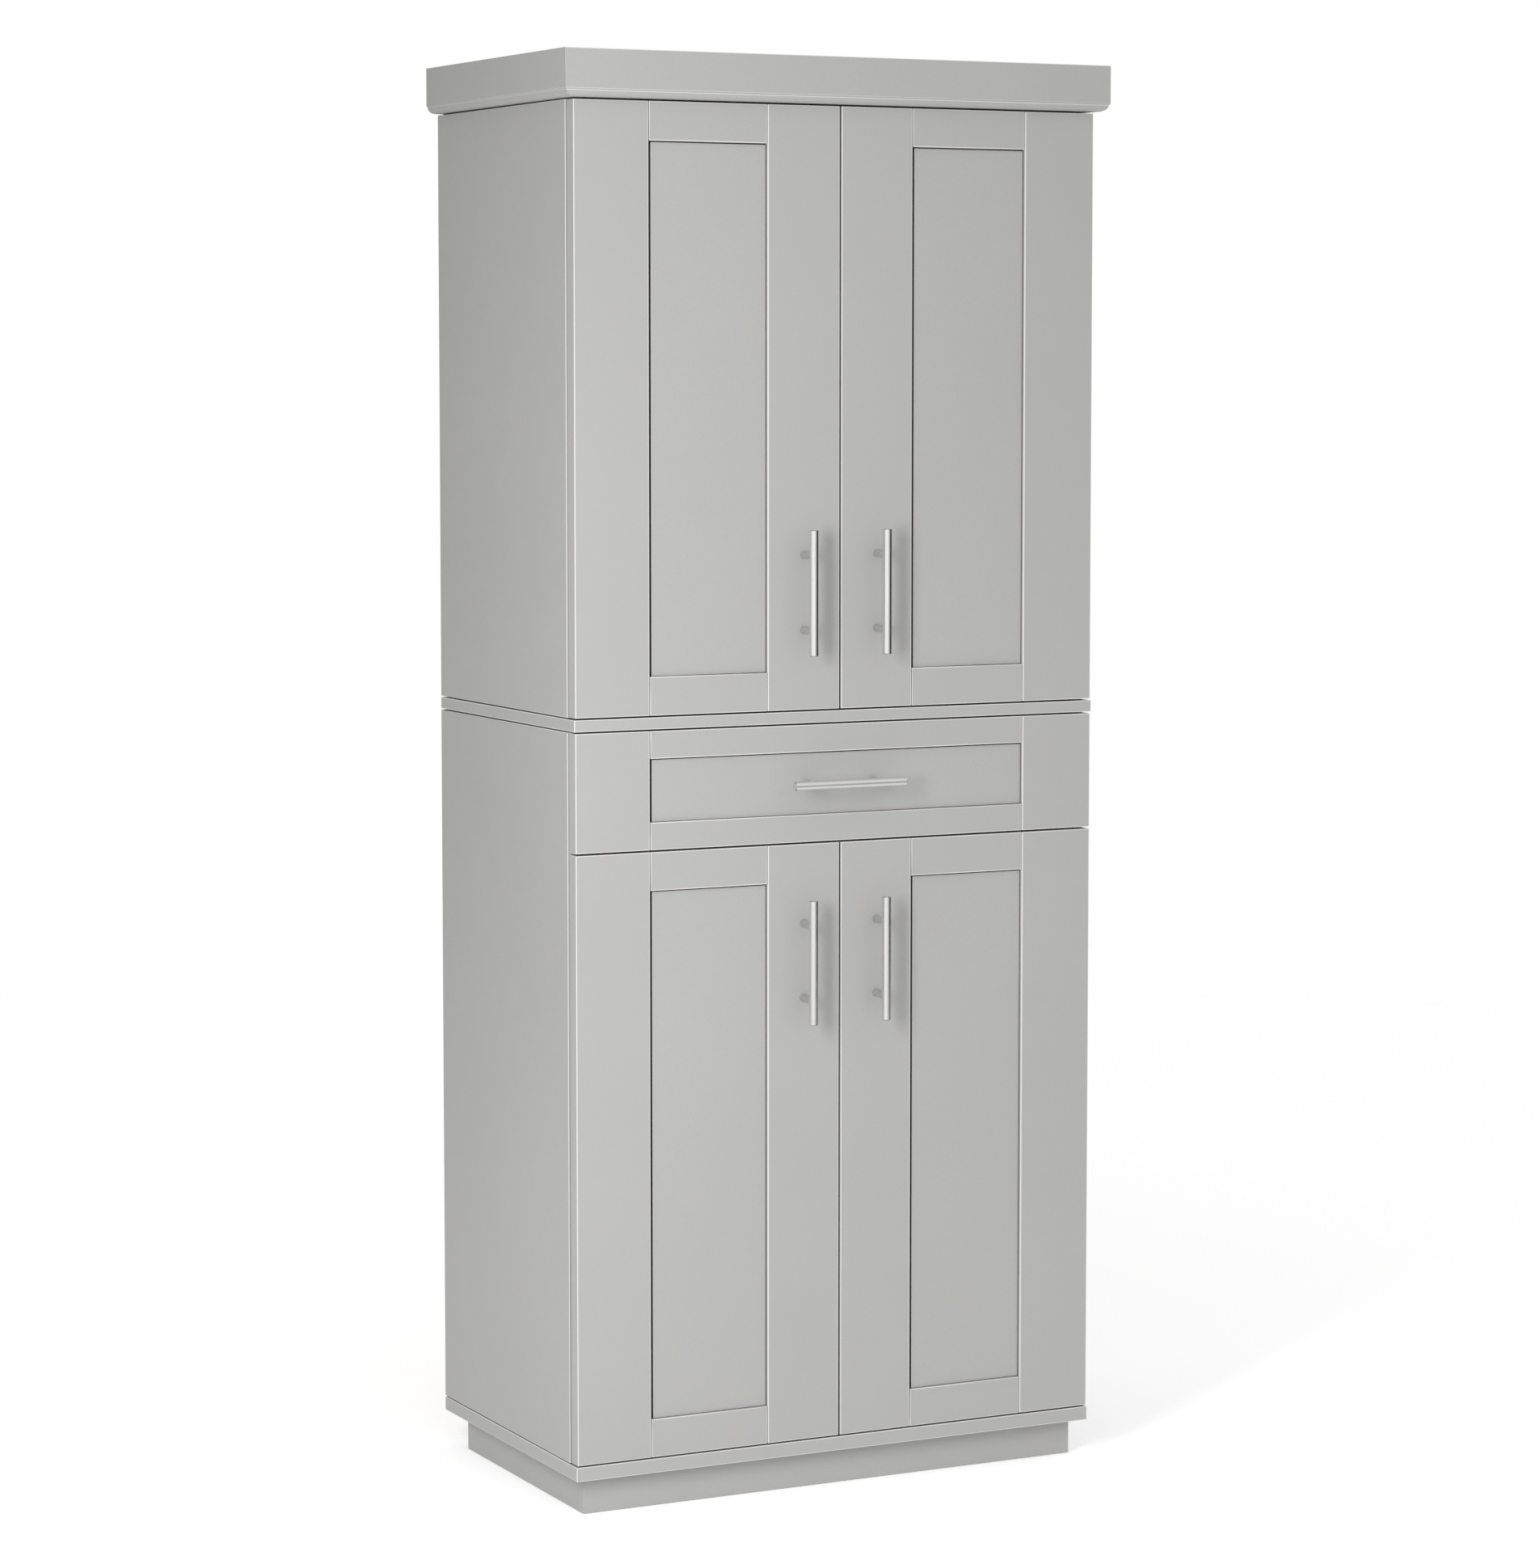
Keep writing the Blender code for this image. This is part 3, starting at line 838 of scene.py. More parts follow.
@dataclass(frozen=True)
class CupHinge:
    """A concealed hinge: cup and wings in the door, arm and plate on the side, and the link between them."""

    cup_r: float = 0.0175
    cup_deep: float = 0.011
    wall: float = 0.001
    wing_half_long: float = 0.0245
    wing_half_wide: float = 0.0065
    arm_wide: float = 0.0145
    arm_half_tall: float = 0.0065
    plate_t: float = 0.002
    screw: Screw = Screw()

    def build_cup(self, name: str, node: str, body: str) -> None:
        """The cup in the stile, with its two wings and their screws.

        Args:
            name: what its pieces are named after.
            node: the node it stands for.
            body: the door it rides on.
        """
        low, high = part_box(node)
        centre = (low + high) / 2
        mouth = high.y - self.wall
        rim = self.cup_r + self.wall
        profile = [
            (0, -self.cup_deep), (self.cup_r - 0.0012, -self.cup_deep), (self.cup_r, 0.0012 - self.cup_deep),
            (self.cup_r, 0), (rim, 0), (rim, 0.0006), (rim - 0.0004, self.wall),
            (self.cup_r - self.wall, self.wall), (self.cup_r - self.wall, self.wall - self.cup_deep + 0.0015),
            (self.cup_r - 0.0026, self.wall - self.cup_deep), (0, self.wall - self.cup_deep),
        ]
        cup = lathe(profile, 48, Axis.Y, (centre.x, mouth, centre.z))
        wings = box(
            (centre.x - self.wing_half_wide, mouth, centre.z - self.wing_half_long),
            (centre.x + self.wing_half_wide, mouth + self.wall * 0.9, centre.z + self.wing_half_long),
        )
        gap = rod(self.cup_r - self.wall / 2, -0.004, 0.004, Axis.Y, (centre.x, mouth, centre.z), 48)
        wings = combine(wings, [gap])
        cup = combine(cup, [wings], cut=False)

        def ease(edge: bmesh.types.BMEdge) -> float:
            """Rounds the wings' corners."""
            tip = abs(abs(middle_of(edge).z - centre.z) - self.wing_half_long) < 0.0002
            return 0.0035 if tip and runs_along(edge) is Axis.Y else 0.0

        make_piece(name, cup, body, (PLATE,), [node], ease, 4)
        heads = [
            self.screw.head((centre.x, mouth + self.wall * 0.9, centre.z + end * 0.0212), Axis.Y, 1)
            for end in (-1, 1)
        ]
        make_piece(f"{name}_screws", merge(heads), body, (SCREW_STEEL,))

    def build_arm(self, name: str, node: str, sign: int, door: str) -> None:
        """The arm and its plate on the side panel, and the link that reaches into the cup.

        Args:
            name: the arm's name.
            node: the model node that it stands for.
            sign: -1 on the left, 1 on the right.
            door: the door body that the link reaches.
        """
        low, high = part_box(node)
        middle_z = (low.z + high.z) / 2
        wall_x = max(abs(low.x), abs(high.x))
        inner_x = min(abs(low.x), abs(high.x))
        nose_x = inner_x + self.arm_wide
        foot_x = wall_x - self.plate_t / 2
        step_y = low.y + 0.028
        outline = [
            (inner_x, low.y), (nose_x, low.y), (nose_x, step_y), (foot_x, step_y + 0.006), (foot_x, high.y),
            (inner_x + 0.003, high.y), (inner_x, high.y - 0.036),
        ]
        turned = [(sign * x, y) for x, y in outline]
        arm = prism(turned, middle_z - self.arm_half_tall, middle_z + self.arm_half_tall, Axis.Z)
        plate_y = high.y - 0.026
        plate_low = Vector((min(sign * wall_x, sign * (wall_x - self.plate_t)), plate_y - 0.016, low.z))
        plate_high = Vector((max(sign * wall_x, sign * (wall_x - self.plate_t)), plate_y + 0.016, high.z))
        slot = box(
            (min(sign * (inner_x - 0.002), sign * (inner_x + 0.004)), plate_y - 0.012, middle_z - 0.0022),
            (max(sign * (inner_x - 0.002), sign * (inner_x + 0.004)), plate_y + 0.008, middle_z + 0.0022),
        )
        arm = combine(combine(arm, [box(plate_low, plate_high)], cut=False), [slot])

        def ease(edge: bmesh.types.BMEdge) -> float:
            """Rounds the plate's corners and eases the arm.

            Args:
                edge: an edge of the shape.

            Returns:
                The bevel's width, in metres.
            """
            way, mid = runs_along(edge), middle_of(edge)
            if way is Axis.X and abs(abs(mid.z - middle_z) - (high.z - middle_z)) < NEAR:
                return 0.004
            if abs(mid.z - middle_z) < 0.003:
                return 0.0002
            return 0.0005

        # the arm's eased edges take the lighter plating, a painted edge highlight
        make_piece(name, arm, Carrier.CABINET.value, (PLATE, PLATE_EDGE_HIGHLIGHT), [node], ease, 3)
        heads = [
            self.screw.head((sign * (wall_x - self.plate_t), plate_y, middle_z + end * 0.0165), Axis.X, -sign)
            for end in (-1, 1)
        ]
        small = Screw(0.0024, 0.0007, 0.0008)
        heads += [
            small.head((sign * (inner_x + lift), plate_y + along, middle_z), Axis.X, -sign)
            for along, lift in ((-0.026, 0.0), (0.0155, 0.0016))
        ]
        make_piece(f"{name}_screws", merge(heads), Carrier.CABINET.value, (SCREW_STEEL,))
        self.build_link(f"{name}_link", sign, nose_x, low.y, middle_z, door)

    def build_link(self, name: str, sign: int, nose_x: float, nose_y: float, middle_z: float, door: str) -> None:
        """A flat link from the arm's nose to the cup's outer wall.

        Args:
            name: what the link is called.
            sign: the side's sign in X.
            nose_x: distance of the arm's nose from the middle plane.
            nose_y: where the nose is in Y.
            middle_z: the hinge's height.
            door: not used.
        """
        start = Vector((sign * (nose_x - 0.007), nose_y + 0.0004, middle_z))
        end = Vector((sign * (nose_x + 0.0105), nose_y - 0.0006, middle_z))
        low_x, high_x = sorted((start.x, end.x))
        shapes = []
        for height in (-0.0042, 0.0024):
            strip = box((low_x, nose_y - 0.0014, middle_z + height),
                        (high_x, nose_y + 0.0010, middle_z + height + 0.0018))
            long_edges = [edge for edge in strip.edges if runs_along(edge) is Axis.X]
            bmesh.ops.subdivide_edges(strip, edges=long_edges, cuts=11, use_grid_fill=True)
            shapes.append(strip)
        make_piece(name, merge(shapes), Carrier.CABINET.value, (PLATE,), blend_to=(door, start, end))


# ---------------------------------------------------------------- fronts


@dataclass(frozen=True)
class FramedFront:
    """A framed front: two stiles, two rails and the panel held in their groove."""

    rail: float
    stile: float = 0.102
    recess: float = 0.0065
    groove: float = 0.0065
    groove_deep: float = 0.008
    joint_gap: float = 0.0009
    panel_play: float = 0.0005
    field_raised: float = 0.0025
    channels: tuple[float, float, float, float] = (0.0044, 0.0012, 0.0005, 0.0016)
    channel_deep: float = 0.0042
    outer_ease: float = 0.0010
    window_ease: float = 0.0012
    stile_ease: float = 0.0014
    rail_end_ease: float = 0.0007
    corner_ease: float = 0.0006
    panel_ease: float = 0.0005
    back_ease: float = 0.0002
    pocket_r: float = 0.018
    pocket_deep: float = 0.0115

    def build(self, name: str, body: str, cups: Sequence[str] = ()) -> None:
        """Builds the frame and its panel.

        Args:
            name: the front's name, as in the model's nodes.
            body: the body that carries it.
            cups: model nodes of the hinge cups let into its stiles.
        """
        low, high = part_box(f"{name}_frame")
        window_low = Vector((low.x + self.stile, low.y, low.z + self.rail))
        window_high = Vector((high.x - self.stile, high.y, high.z - self.rail))
        groove_y = low.y + self.recess
        out = self.groove_deep
        groove = (
            (window_low.x - out, groove_y, window_low.z - out),
            (window_high.x + out, groove_y + self.groove, window_high.z + out),
        )
        gap = self.joint_gap
        members = {
            "stile_left": (low, Vector((window_low.x, high.y, high.z))),
            "stile_right": (Vector((window_high.x, low.y, low.z)), high),
            "rail_low": (Vector((window_low.x + gap, low.y, low.z)),
                         Vector((window_high.x - gap, high.y, window_low.z))),
            "rail_high": (Vector((window_low.x + gap, low.y, window_high.z)),
                          Vector((window_high.x - gap, high.y, high.z))),
        }
        for index, (member, (start, end)) in enumerate(members.items()):
            cutters = [box(*groove)]
            for cup in cups:
                cup_low, cup_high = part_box(cup)
                centre = (cup_low + cup_high) / 2
                if start.x < centre.x < end.x:
                    spot = (centre.x, high.y, centre.z)
                    cutters.append(rod(self.pocket_r, -self.pocket_deep, self.pocket_deep, Axis.Y, spot, 48))
            shape = combine(box(start, end), cutters)
            rule = self.ease_rule(low, high, window_low, window_high)
            make_piece(f"{name}_{member}", shape, body, PAINT_WITH_EDGE_HIGHLIGHT,
                       [f"{name}_frame"] if index == 0 else (), rule, 3)
        front = groove_y - self.field_raised
        back = groove_y + self.groove - CLEAR
        self.build_panel(name, body, (window_low.x, front, window_low.z), (window_high.x, back, window_high.z))

    def build_panel(self, name: str, body: str, low: Sequence[float], high: Sequence[float]) -> None:
        """The panel: a thin tongue in the groove, and a field that a narrow channel sets off from the frame; the
        channel is painted near-black as painted shade.

        Args:
            name: the front's name.
            body: the body that carries it.
            low: the window's lowest corner, at the field's face.
            high: the window's highest corner, at the panel's back.
        """
        reach, near = self.groove_deep - self.panel_play, min(self.channels)
        step = low[1] + self.channel_deep
        panel = box((low[0] - reach, step, low[2] - reach), (high[0] + reach, high[1], high[2] + reach))
        faces = [face for face in panel.faces if face.normal.y < -0.5]
        bmesh.ops.inset_region(panel, faces=faces, thickness=reach + near, use_even_offset=True)
        grown = bmesh.ops.extrude_face_region(panel, geom=faces)["geom"]
        verts = [item for item in grown if isinstance(item, bmesh.types.BMVert)]
        bmesh.ops.translate(panel, verts=verts, vec=(0, -self.channel_deep, 0))
        bmesh.ops.delete(panel, geom=faces, context="FACES_ONLY")
        left, right, below, above = (gap - near for gap in self.channels)
        for vert in panel.verts:
            if low[0] - NEAR < vert.co.x < high[0] + NEAR:
                vert.co.x += left if vert.co.x < (low[0] + high[0]) / 2 else -right
                vert.co.z += below if vert.co.z < (low[2] + high[2]) / 2 else -above
        # the channel's floor and walls take the near-black paint, a painted shade
        for face in panel.faces:
            shallow = step - NEAR < face.calc_center_median().y < step + NEAR
            wall = abs(face.normal.y) < 0.5 and face.calc_center_median().y < step
            face.material_index = 2 if shallow or wall else 0

        def rule(edge: bmesh.types.BMEdge) -> float:
            """Eases the field's edges and leaves the tongue's sharp."""
            return self.panel_ease if abs(middle_of(edge).y - low[1]) < NEAR else 0.0

        make_piece(f"{name}_panel_board", panel, body, (*PAINT_WITH_EDGE_HIGHLIGHT, CHANNEL_SHADE_PAINT),
                   [f"{name}_panel"], rule)

    def ease_rule(self, low: Vector, high: Vector, window_low: Vector, window_high: Vector) -> EdgeRule:
        """How wide each edge of a frame member is eased.

        Args:
            low: the front's lowest corner.
            high: its highest corner.
            window_low: the window's lowest corner.
            window_high: its highest corner.

        Returns:
            The rule.
        """

        def outer(point: Vector) -> bool:
            """Whether a point is on the front's outline."""
            ends = ((point.x, low.x), (point.x, high.x), (point.z, low.z), (point.z, high.z))
            return any(abs(value - edge) < NEAR for value, edge in ends)

        def rule(edge: bmesh.types.BMEdge) -> float:
            """The width for one edge.

            Args:
                edge: an edge of the shape.

            Returns:
                The bevel's width, in metres.
            """
            mid, way = middle_of(edge), runs_along(edge)
            at_front = all(abs(vert.co.y - low.y) < NEAR for vert in edge.verts)
            at_back = all(abs(vert.co.y - high.y) < NEAR for vert in edge.verts)
            if way is Axis.Y and outer(mid) and edge.calc_length() > 0.015:
                return self.corner_ease
            if at_front and outer(mid):
                return self.outer_ease
            if at_front and way is Axis.X:
                return self.window_ease
            if at_front:
                joints = (window_low.x, window_high.x)
                return self.stile_ease if any(abs(mid.x - x) < NEAR for x in joints) else self.rail_end_ease
            if at_back and way in (Axis.X, Axis.Z) and edge.calc_length() > 0.02:
                return self.back_ease
            return 0.0

        return rule


@dataclass(frozen=True)
class Door:
    """A door of the cabinet, with its handle and two hinges."""

    level: str
    side: Side
    front: FramedFront = FramedFront(rail=0.049)
    handle: BarHandle = BarHandle()
    hinge: CupHinge = CupHinge()
    fixing: Screw = HANDLE_SCREW

    def build(self) -> None:
        """Builds the door."""
        name = f"{self.level}_door_{self.side.word}"
        cups = [f"{name}_cup_{place}" for place in ("low", "high")]
        self.front.build(name, name, cups)
        self.handle.build(f"{name}_bar_handle", f"{name}_handle", Axis.Z, name)
        for place in ("low", "high"):
            self.hinge.build_cup(f"{name}_hinge_cup_{place}", f"{name}_cup_{place}", name)
            self.hinge.build_arm(f"{name}_hinge_arm_{place}", f"{name}_arm_{place}", self.side.sign, name)
        low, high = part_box(f"{name}_handle")
        middle = (low + high) / 2
        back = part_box(f"{name}_frame")[1].y
        heads = [
            self.fixing.head((middle.x, back, middle.z + end * self.handle.apart / 2), Axis.Y, 1)
            for end in (-1, 1)
        ]
        make_piece(f"{name}_handle_screws", merge(heads), name, (SCREW_STEEL,))


# ---------------------------------------------------------------- drawer


@dataclass(frozen=True)
class Drawer:
    """The drawer: its framed front, its plywood box, its handle and its runners."""

    front: FramedFront = FramedFront(rail=0.035)
    handle: BarHandle = BarHandle()
    ply_ease: float = 0.0009
    bracket_long: float = 0.022
    bracket_half: float = 0.008
    bracket_t: float = 0.0014
    bracket_ease: float = 0.0004
    screw: Screw = Screw(0.0032, 0.0008, 0.0010)
    body: str = Carrier.DRAWER.value

    def build(self) -> None:
        """Builds the drawer."""
        self.front.build("drawer_front", self.body)
        self.handle.build("drawer_bar_handle", "drawer_handle", Axis.X, self.body)
        self.build_box()
        self.build_fixings()
        for side in Side:
            Runner(side).build()

    def build_box(self) -> None:
        """The box's sides, back and bottom, with the plies bare on their edges."""
        for side in Side:
            node = f"drawer_side_{side.word}"
            low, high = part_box(node)
            shape = box(low, high)
            for face in shape.faces:
                face.material_index = 0 if abs(face.normal.x) > 0.5 else 1
            self.make_ply(f"drawer_box_{side.word}", shape, (PLY_LONG, PLY_EDGE_X), node)
        low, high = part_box("drawer_back")
        shape = box(low, high)
        for face in shape.faces:
            face.material_index = 0 if abs(face.normal.y) > 0.5 else 1
        self.make_ply("drawer_box_back", shape, (PLY_WIDE, PLY_EDGE_Y), "drawer_back")
        low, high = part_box("drawer_bottom")
        self.make_ply("drawer_box_floor", box(low, high), (PLY_FLOOR, PLY_FLOOR), "drawer_bottom")

    def make_ply(self, name: str, shape: bmesh.types.BMesh, finishes: Sequence[Finish], node: str) -> None:
        """A plywood board with lightly sanded edges."""
        make_piece(name, shape, self.body, finishes, [node], all_round(self.ply_ease))

    def build_fixings(self) -> None:
        """Corner brackets between box and front, and the screws of the handle, box back and brackets."""
        front_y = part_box("drawer_front_frame")[1].y + CLEAR
        floor_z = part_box("drawer_bottom")[1].z
        top_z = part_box("drawer_side_left")[1].z
        brackets, heads = [], []
        reach, half, thick = self.bracket_long, self.bracket_half, self.bracket_t
        for side in Side:
            low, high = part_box(f"drawer_side_{side.word}")
            inner = min(abs(low.x), abs(high.x))
            for z in (floor_z + 0.024, top_z - 0.022):
                flat = sorted((side.sign * inner, side.sign * (inner - thick)))
                leg = box((flat[0], front_y, z - half), (flat[1], front_y + reach, z + half))
                wide = sorted((side.sign * inner, side.sign * (inner - reach)))
                foot = box((wide[0], front_y, z - half), (wide[1], front_y + thick, z + half))
                brackets.append(combine(leg, [foot], cut=False))
                on_side = (side.sign * (inner - thick), front_y + 0.014, z)
                on_front = (side.sign * (inner - 0.014), front_y + thick, z)
                heads.append(self.screw.head(on_side, Axis.X, -side.sign))
                heads.append(self.screw.head(on_front, Axis.Y, 1))
        make_piece("drawer_corner_brackets", merge(brackets), self.body, (ZINC, ZINC_EDGE_HIGHLIGHT),
                   (), all_round(self.bracket_ease))
        handle_low, handle_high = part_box("drawer_handle")
        middle_z = (handle_low.z + handle_high.z) / 2
        panel_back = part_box("drawer_front_panel")[1].y
        heads += [
            HANDLE_SCREW.head((end * self.handle.apart / 2, panel_back, middle_z), Axis.Y, 1) for end in (-1, 1)
        ]
        back_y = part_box("drawer_back")[1].y
        for side in Side:
            low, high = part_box(f"drawer_side_{side.word}")
            outer = max(abs(low.x), abs(high.x))
            heads += [
                self.screw.head((side.sign * outer, back_y - 0.006, z), Axis.X, side.sign)
                for z in (floor_z + 0.012, top_z - 0.012)
            ]
        make_piece("drawer_screws", merge(heads), self.body, (SCREW_STEEL,))


@dataclass(frozen=True)
class Runner:
    """A ball-bearing runner beside the drawer box."""

    side: Side
    sheet: float = 0.0012
    ball_r: float = 0.0019
    ball_step: float = 0.022
    balls: int = 9
    ball_from: float = 0.06
    ball_in: float = 0.0042
    cage_past: float = 0.01
    cage_half: Point = (0.0006, 0.0013)
    ease: float = 0.00035

    def channel(self, node: str, opens: int) -> bmesh.types.BMesh:
        """A channel of bent sheet in the model node's place.

        Args:
            node: the model node.
            opens: 1 where it opens away from the cabinet's middle, or -1.

        Returns:
            Its shape.
        """
        low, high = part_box(node)
        near, far = sorted((abs(low.x), abs(high.x)))
        web, lip = (near, far) if opens > 0 else (far, near)
        t = self.sheet * opens
        lip_up = 0.0010
        outline = [
            (web, low.z), (lip, low.z), (lip, low.z + self.sheet + lip_up),
            (lip - t, low.z + self.sheet + lip_up), (lip - t, low.z + self.sheet),
            (web + t, low.z + self.sheet), (web + t, high.z - self.sheet), (lip - t, high.z - self.sheet),
            (lip - t, high.z - self.sheet - lip_up), (lip, high.z - self.sheet - lip_up), (lip, high.z),
            (web, high.z),
        ]
        return prism([(self.side.sign * x, z) for x, z in outline], low.y, high.y, Axis.Y)

    def build(self) -> None:
        """The cabinet's rail, the drawer's slide, the balls in their cages, and the screws."""
        word, sign = self.side.word, self.side.sign
        cabinet, drawer = Carrier.CABINET.value, Carrier.DRAWER.value
        rail_low, rail_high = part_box(f"runner_rail_{word}")
        slide_low, slide_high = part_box(f"runner_slide_{word}")
        # the runners' eased edges take the lighter zinc, a painted edge highlight
        make_piece(f"drawer_rail_{word}", self.channel(f"runner_rail_{word}", -1), cabinet, (ZINC, ZINC_EDGE_HIGHLIGHT),
                   [f"runner_rail_{word}"], all_round(self.ease))
        make_piece(f"drawer_slide_{word}", self.channel(f"runner_slide_{word}", 1), drawer, (ZINC, ZINC_EDGE_HIGHLIGHT),
                   [f"runner_slide_{word}"], all_round(self.ease))
        x = sign * (min(abs(rail_low.x), abs(rail_high.x)) + self.ball_in)
        middle_z = (rail_low.z + rail_high.z) / 2
        lift = (rail_high.z - self.sheet + slide_high.z) / 2 - middle_z
        balls, cages = [], []
        start = rail_low.y + self.ball_from
        end = start + self.ball_step * (self.balls - 1)
        half_x, half_z = self.cage_half
        for up in (-1, 1):
            z = middle_z + up * lift
            cage = box((x - half_x, start - self.cage_past, z - half_z),
                       (x + half_x, end + self.cage_past, z + half_z))
            for index in range(self.balls):
                ball = bmesh.new()
                place = Matrix.Translation((x, start + self.ball_step * index, z))
                bmesh.ops.create_icosphere(ball, subdivisions=2, radius=self.ball_r, matrix=place)
                balls.append(ball)
            cages.append(cage)
        make_piece(f"drawer_rail_balls_{word}", merge(balls), cabinet, (BALL_STEEL,))
        make_piece(f"drawer_rail_cage_{word}", merge(cages), cabinet, (CAGE_PLASTIC,), (), all_round(0.0003))
        web = sign * (max(abs(rail_low.x), abs(rail_high.x)) - self.sheet)
        spots = (rail_low.y + 0.037, rail_low.y + 0.165, rail_high.y - 0.030)
        heads = [Screw(0.0033, 0.0007, 0.0010).head((web, y, middle_z), Axis.X, -sign) for y in spots]
        make_piece(f"drawer_rail_screws_{word}", merge(heads), cabinet, (SCREW_STEEL,))


# ---------------------------------------------------------------- carcass


@dataclass(frozen=True)
class Carcass:
    """The plinth, decks, side panels, back panels and everything fixed inside them."""

    board_ease: float = 0.0009
    side_ease: float = 0.0008
    plinth_ease: float = 0.0008
    shadow_gap: float = 0.0014
    inside_ease: float = 0.0007
    pin_r: float = 0.0024
    pin_hole_r: float = 0.0026
    pin_hole_deep: float = 0.009
    pin_rows: tuple[float, float] = (-0.108, 0.172)
    pin_pitch: float = 0.032
    rebate_left: float = 0.008
    block: float = 0.028
    block_lift: float = 0.004
    block_ease: float = 0.0008
    band: float = 0.0006
    band_ease: float = 0.00025
    nail_head: tuple[Point, ...] = (
        (0, -0.0003), (0.0019, -0.0003), (0.0019, 0.0001), (0.0011, 0.0003), (0, 0.00035),
    )
    nails_across: int = 5
    nail_in: float = 0.014
    nail_up: float = 0.010
    nail_down: float = 0.012
    nail_edge: float = 0.0035
    nail_pitch: float = 0.13
    body: str = Carrier.CABINET.value
    shelves: tuple[str, ...] = ("upper_shelf_low", "upper_shelf_high", "lower_shelf")

    def build(self) -> None:
        """Builds the carcass."""
        self.build_plinth()
        self.build_decks()
        self.build_sides()
        self.build_backs()
        self.build_inside()
        self.build_pins()
        self.build_fixings()

    def make_board(self, name: str, node: str, finishes: Sequence[Finish], ease: float) -> None:
        """A plain board in its model node's place, with eased edges."""
        make_piece(name, box(*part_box(node)), self.body, finishes, [node], all_round(ease), 3)

    def build_plinth(self) -> None:
        """Four boards under the lowest deck, with blocks glued in their corners."""
        for word in ("front", "back", "left", "right"):
            node = f"plinth_{word}"
            low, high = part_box(node)
            board = box(low, (high.x, high.y, high.z - self.shadow_gap))
            make_piece(f"plinth_board_{word}", board, self.body, (PAINT, PAINT), [node],
                       all_round(self.plinth_ease), 3)
        left_low, left_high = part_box("plinth_left")
        inner, top = abs(left_high.x), left_high.z
        blocks = []
        for sign in (-1, 1):
            for y in (left_low.y, left_high.y - self.block):
                x = sorted((sign * inner, sign * (inner - self.block)))
                blocks.append(box((x[0], y, self.block_lift), (x[1], y + self.block, top - CLEAR)))
        make_piece("plinth_corner_blocks", merge(blocks), self.body, (PLY_LONG, PLY_EDGE_X), (),
                   all_round(self.block_ease))

    def build_decks(self) -> None:
        """The decks that run out to the fronts' face."""
        self.make_board("lowest_deck", "bottom_board", PAINT_WITH_EDGE_HIGHLIGHT, self.board_ease)
        self.make_board("middle_deck", "middle_board", PAINT_WITH_EDGE_HIGHLIGHT, self.board_ease)

    def build_sides(self) -> None:
        """The side panels: a rebate behind for the back panel, and rows of holes for the shelf pins."""
        for level in ("lower", "upper"):
            for side in Side:
                node = f"{level}_side_{side.word}"
                low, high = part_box(node)
                outer, inner = max(abs(low.x), abs(high.x)), min(abs(low.x), abs(high.x))
                step_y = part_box(f"{level}_back_panel")[0].y - CLEAR
                step_x = outer - self.rebate_left
                outline = [(outer, low.y), (outer, high.y), (step_x, high.y), (step_x, step_y),
                           (inner, step_y), (inner, low.y)]
                shape = prism([(side.sign * x, y) for x, y in outline], low.z + self.shadow_gap,
                              high.z - self.shadow_gap, Axis.Z)
                drills = [
                    rod(self.pin_hole_r, -self.pin_hole_deep, self.pin_hole_deep, Axis.X,
                        (side.sign * inner, y, z), 16)
                    for z in self.hole_levels(level) for y in self.pin_rows
                ]
                shape = combine(shape, drills)
                outer_x = side.sign * outer

                def rule(edge: bmesh.types.BMEdge, outer_x: float = outer_x, low: Vector = low) -> float:
                    """Eases the long edges, and leaves the holes and the rebate sharp.

                    Args:
                        edge: an edge of the shape.
                        outer_x: where the panel's outer face is.
                        low: the panel's low corner.

                    Returns:
                        The bevel's width, in metres.
                    """
                    if edge.calc_length() < 0.01:
                        return 0.0
                    mid = middle_of(edge)
                    if abs(mid.x - outer_x) < NEAR or abs(mid.y - low.y) < NEAR:
                        return self.side_ease
                    return 0.0

                make_piece(f"{level}_panel_{side.word}", shape, self.body, PAINT_WITH_EDGE_HIGHLIGHT, [node],
                           rule, 3)

    def hole_levels(self, level: str) -> list[float]:
        """Heights of the pin holes in one level's side panels.

        Args:
            level: the case's word, upper or lower.

        Returns:
            The heights, five for each shelf.
        """
        levels = []
        for shelf in self.shelves:
            if shelf.startswith(level):
                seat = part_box(shelf)[0].z - self.pin_r
                levels += [seat + step * self.pin_pitch for step in (-2, -1, 0, 1, 2)]
        return levels

    def build_backs(self) -> None:
        """The back panels: laminate inside, raw outside, nailed round their edges."""
        for level in ("lower", "upper"):
            node = f"{level}_back_panel"
            low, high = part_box(node)
            shape = box(low, high)
            for face in shape.faces:
                face.material_index = 1 if face.normal.y > 0.5 else 0
            make_piece(f"{level}_backing", shape, self.body, (INSIDE, BACKING), [node])
            spots = self.nail_spots(low, high)
            heads = [lathe(self.nail_head, 8, Axis.Y, (x, high.y, z)) for x, z in spots]
            make_piece(f"{level}_backing_nails", merge(heads), self.body, (SCREW_STEEL,))

    def nail_spots(self, low: Vector, high: Vector) -> list[Point]:
        """Where a back panel is nailed: along its bottom and top, then up both edges.

        Args:
            low: the panel's lowest corner.
            high: its highest corner.

        Returns:
            The nails' X and Z.
        """
        spots = []
        for index in range(self.nails_across + 1):
            x = low.x + self.nail_in + (high.x - low.x - 2 * self.nail_in) * index / self.nails_across
            spots += [(x, low.z + self.nail_up), (x, high.z - self.nail_down)]
        rows = round((high.z - low.z) / self.nail_pitch)
        for index in range(1, rows):
            z = low.z + (high.z - low.z) * index / rows
            spots += [(low.x + self.nail_edge, z), (high.x - self.nail_edge, z)]
        return spots

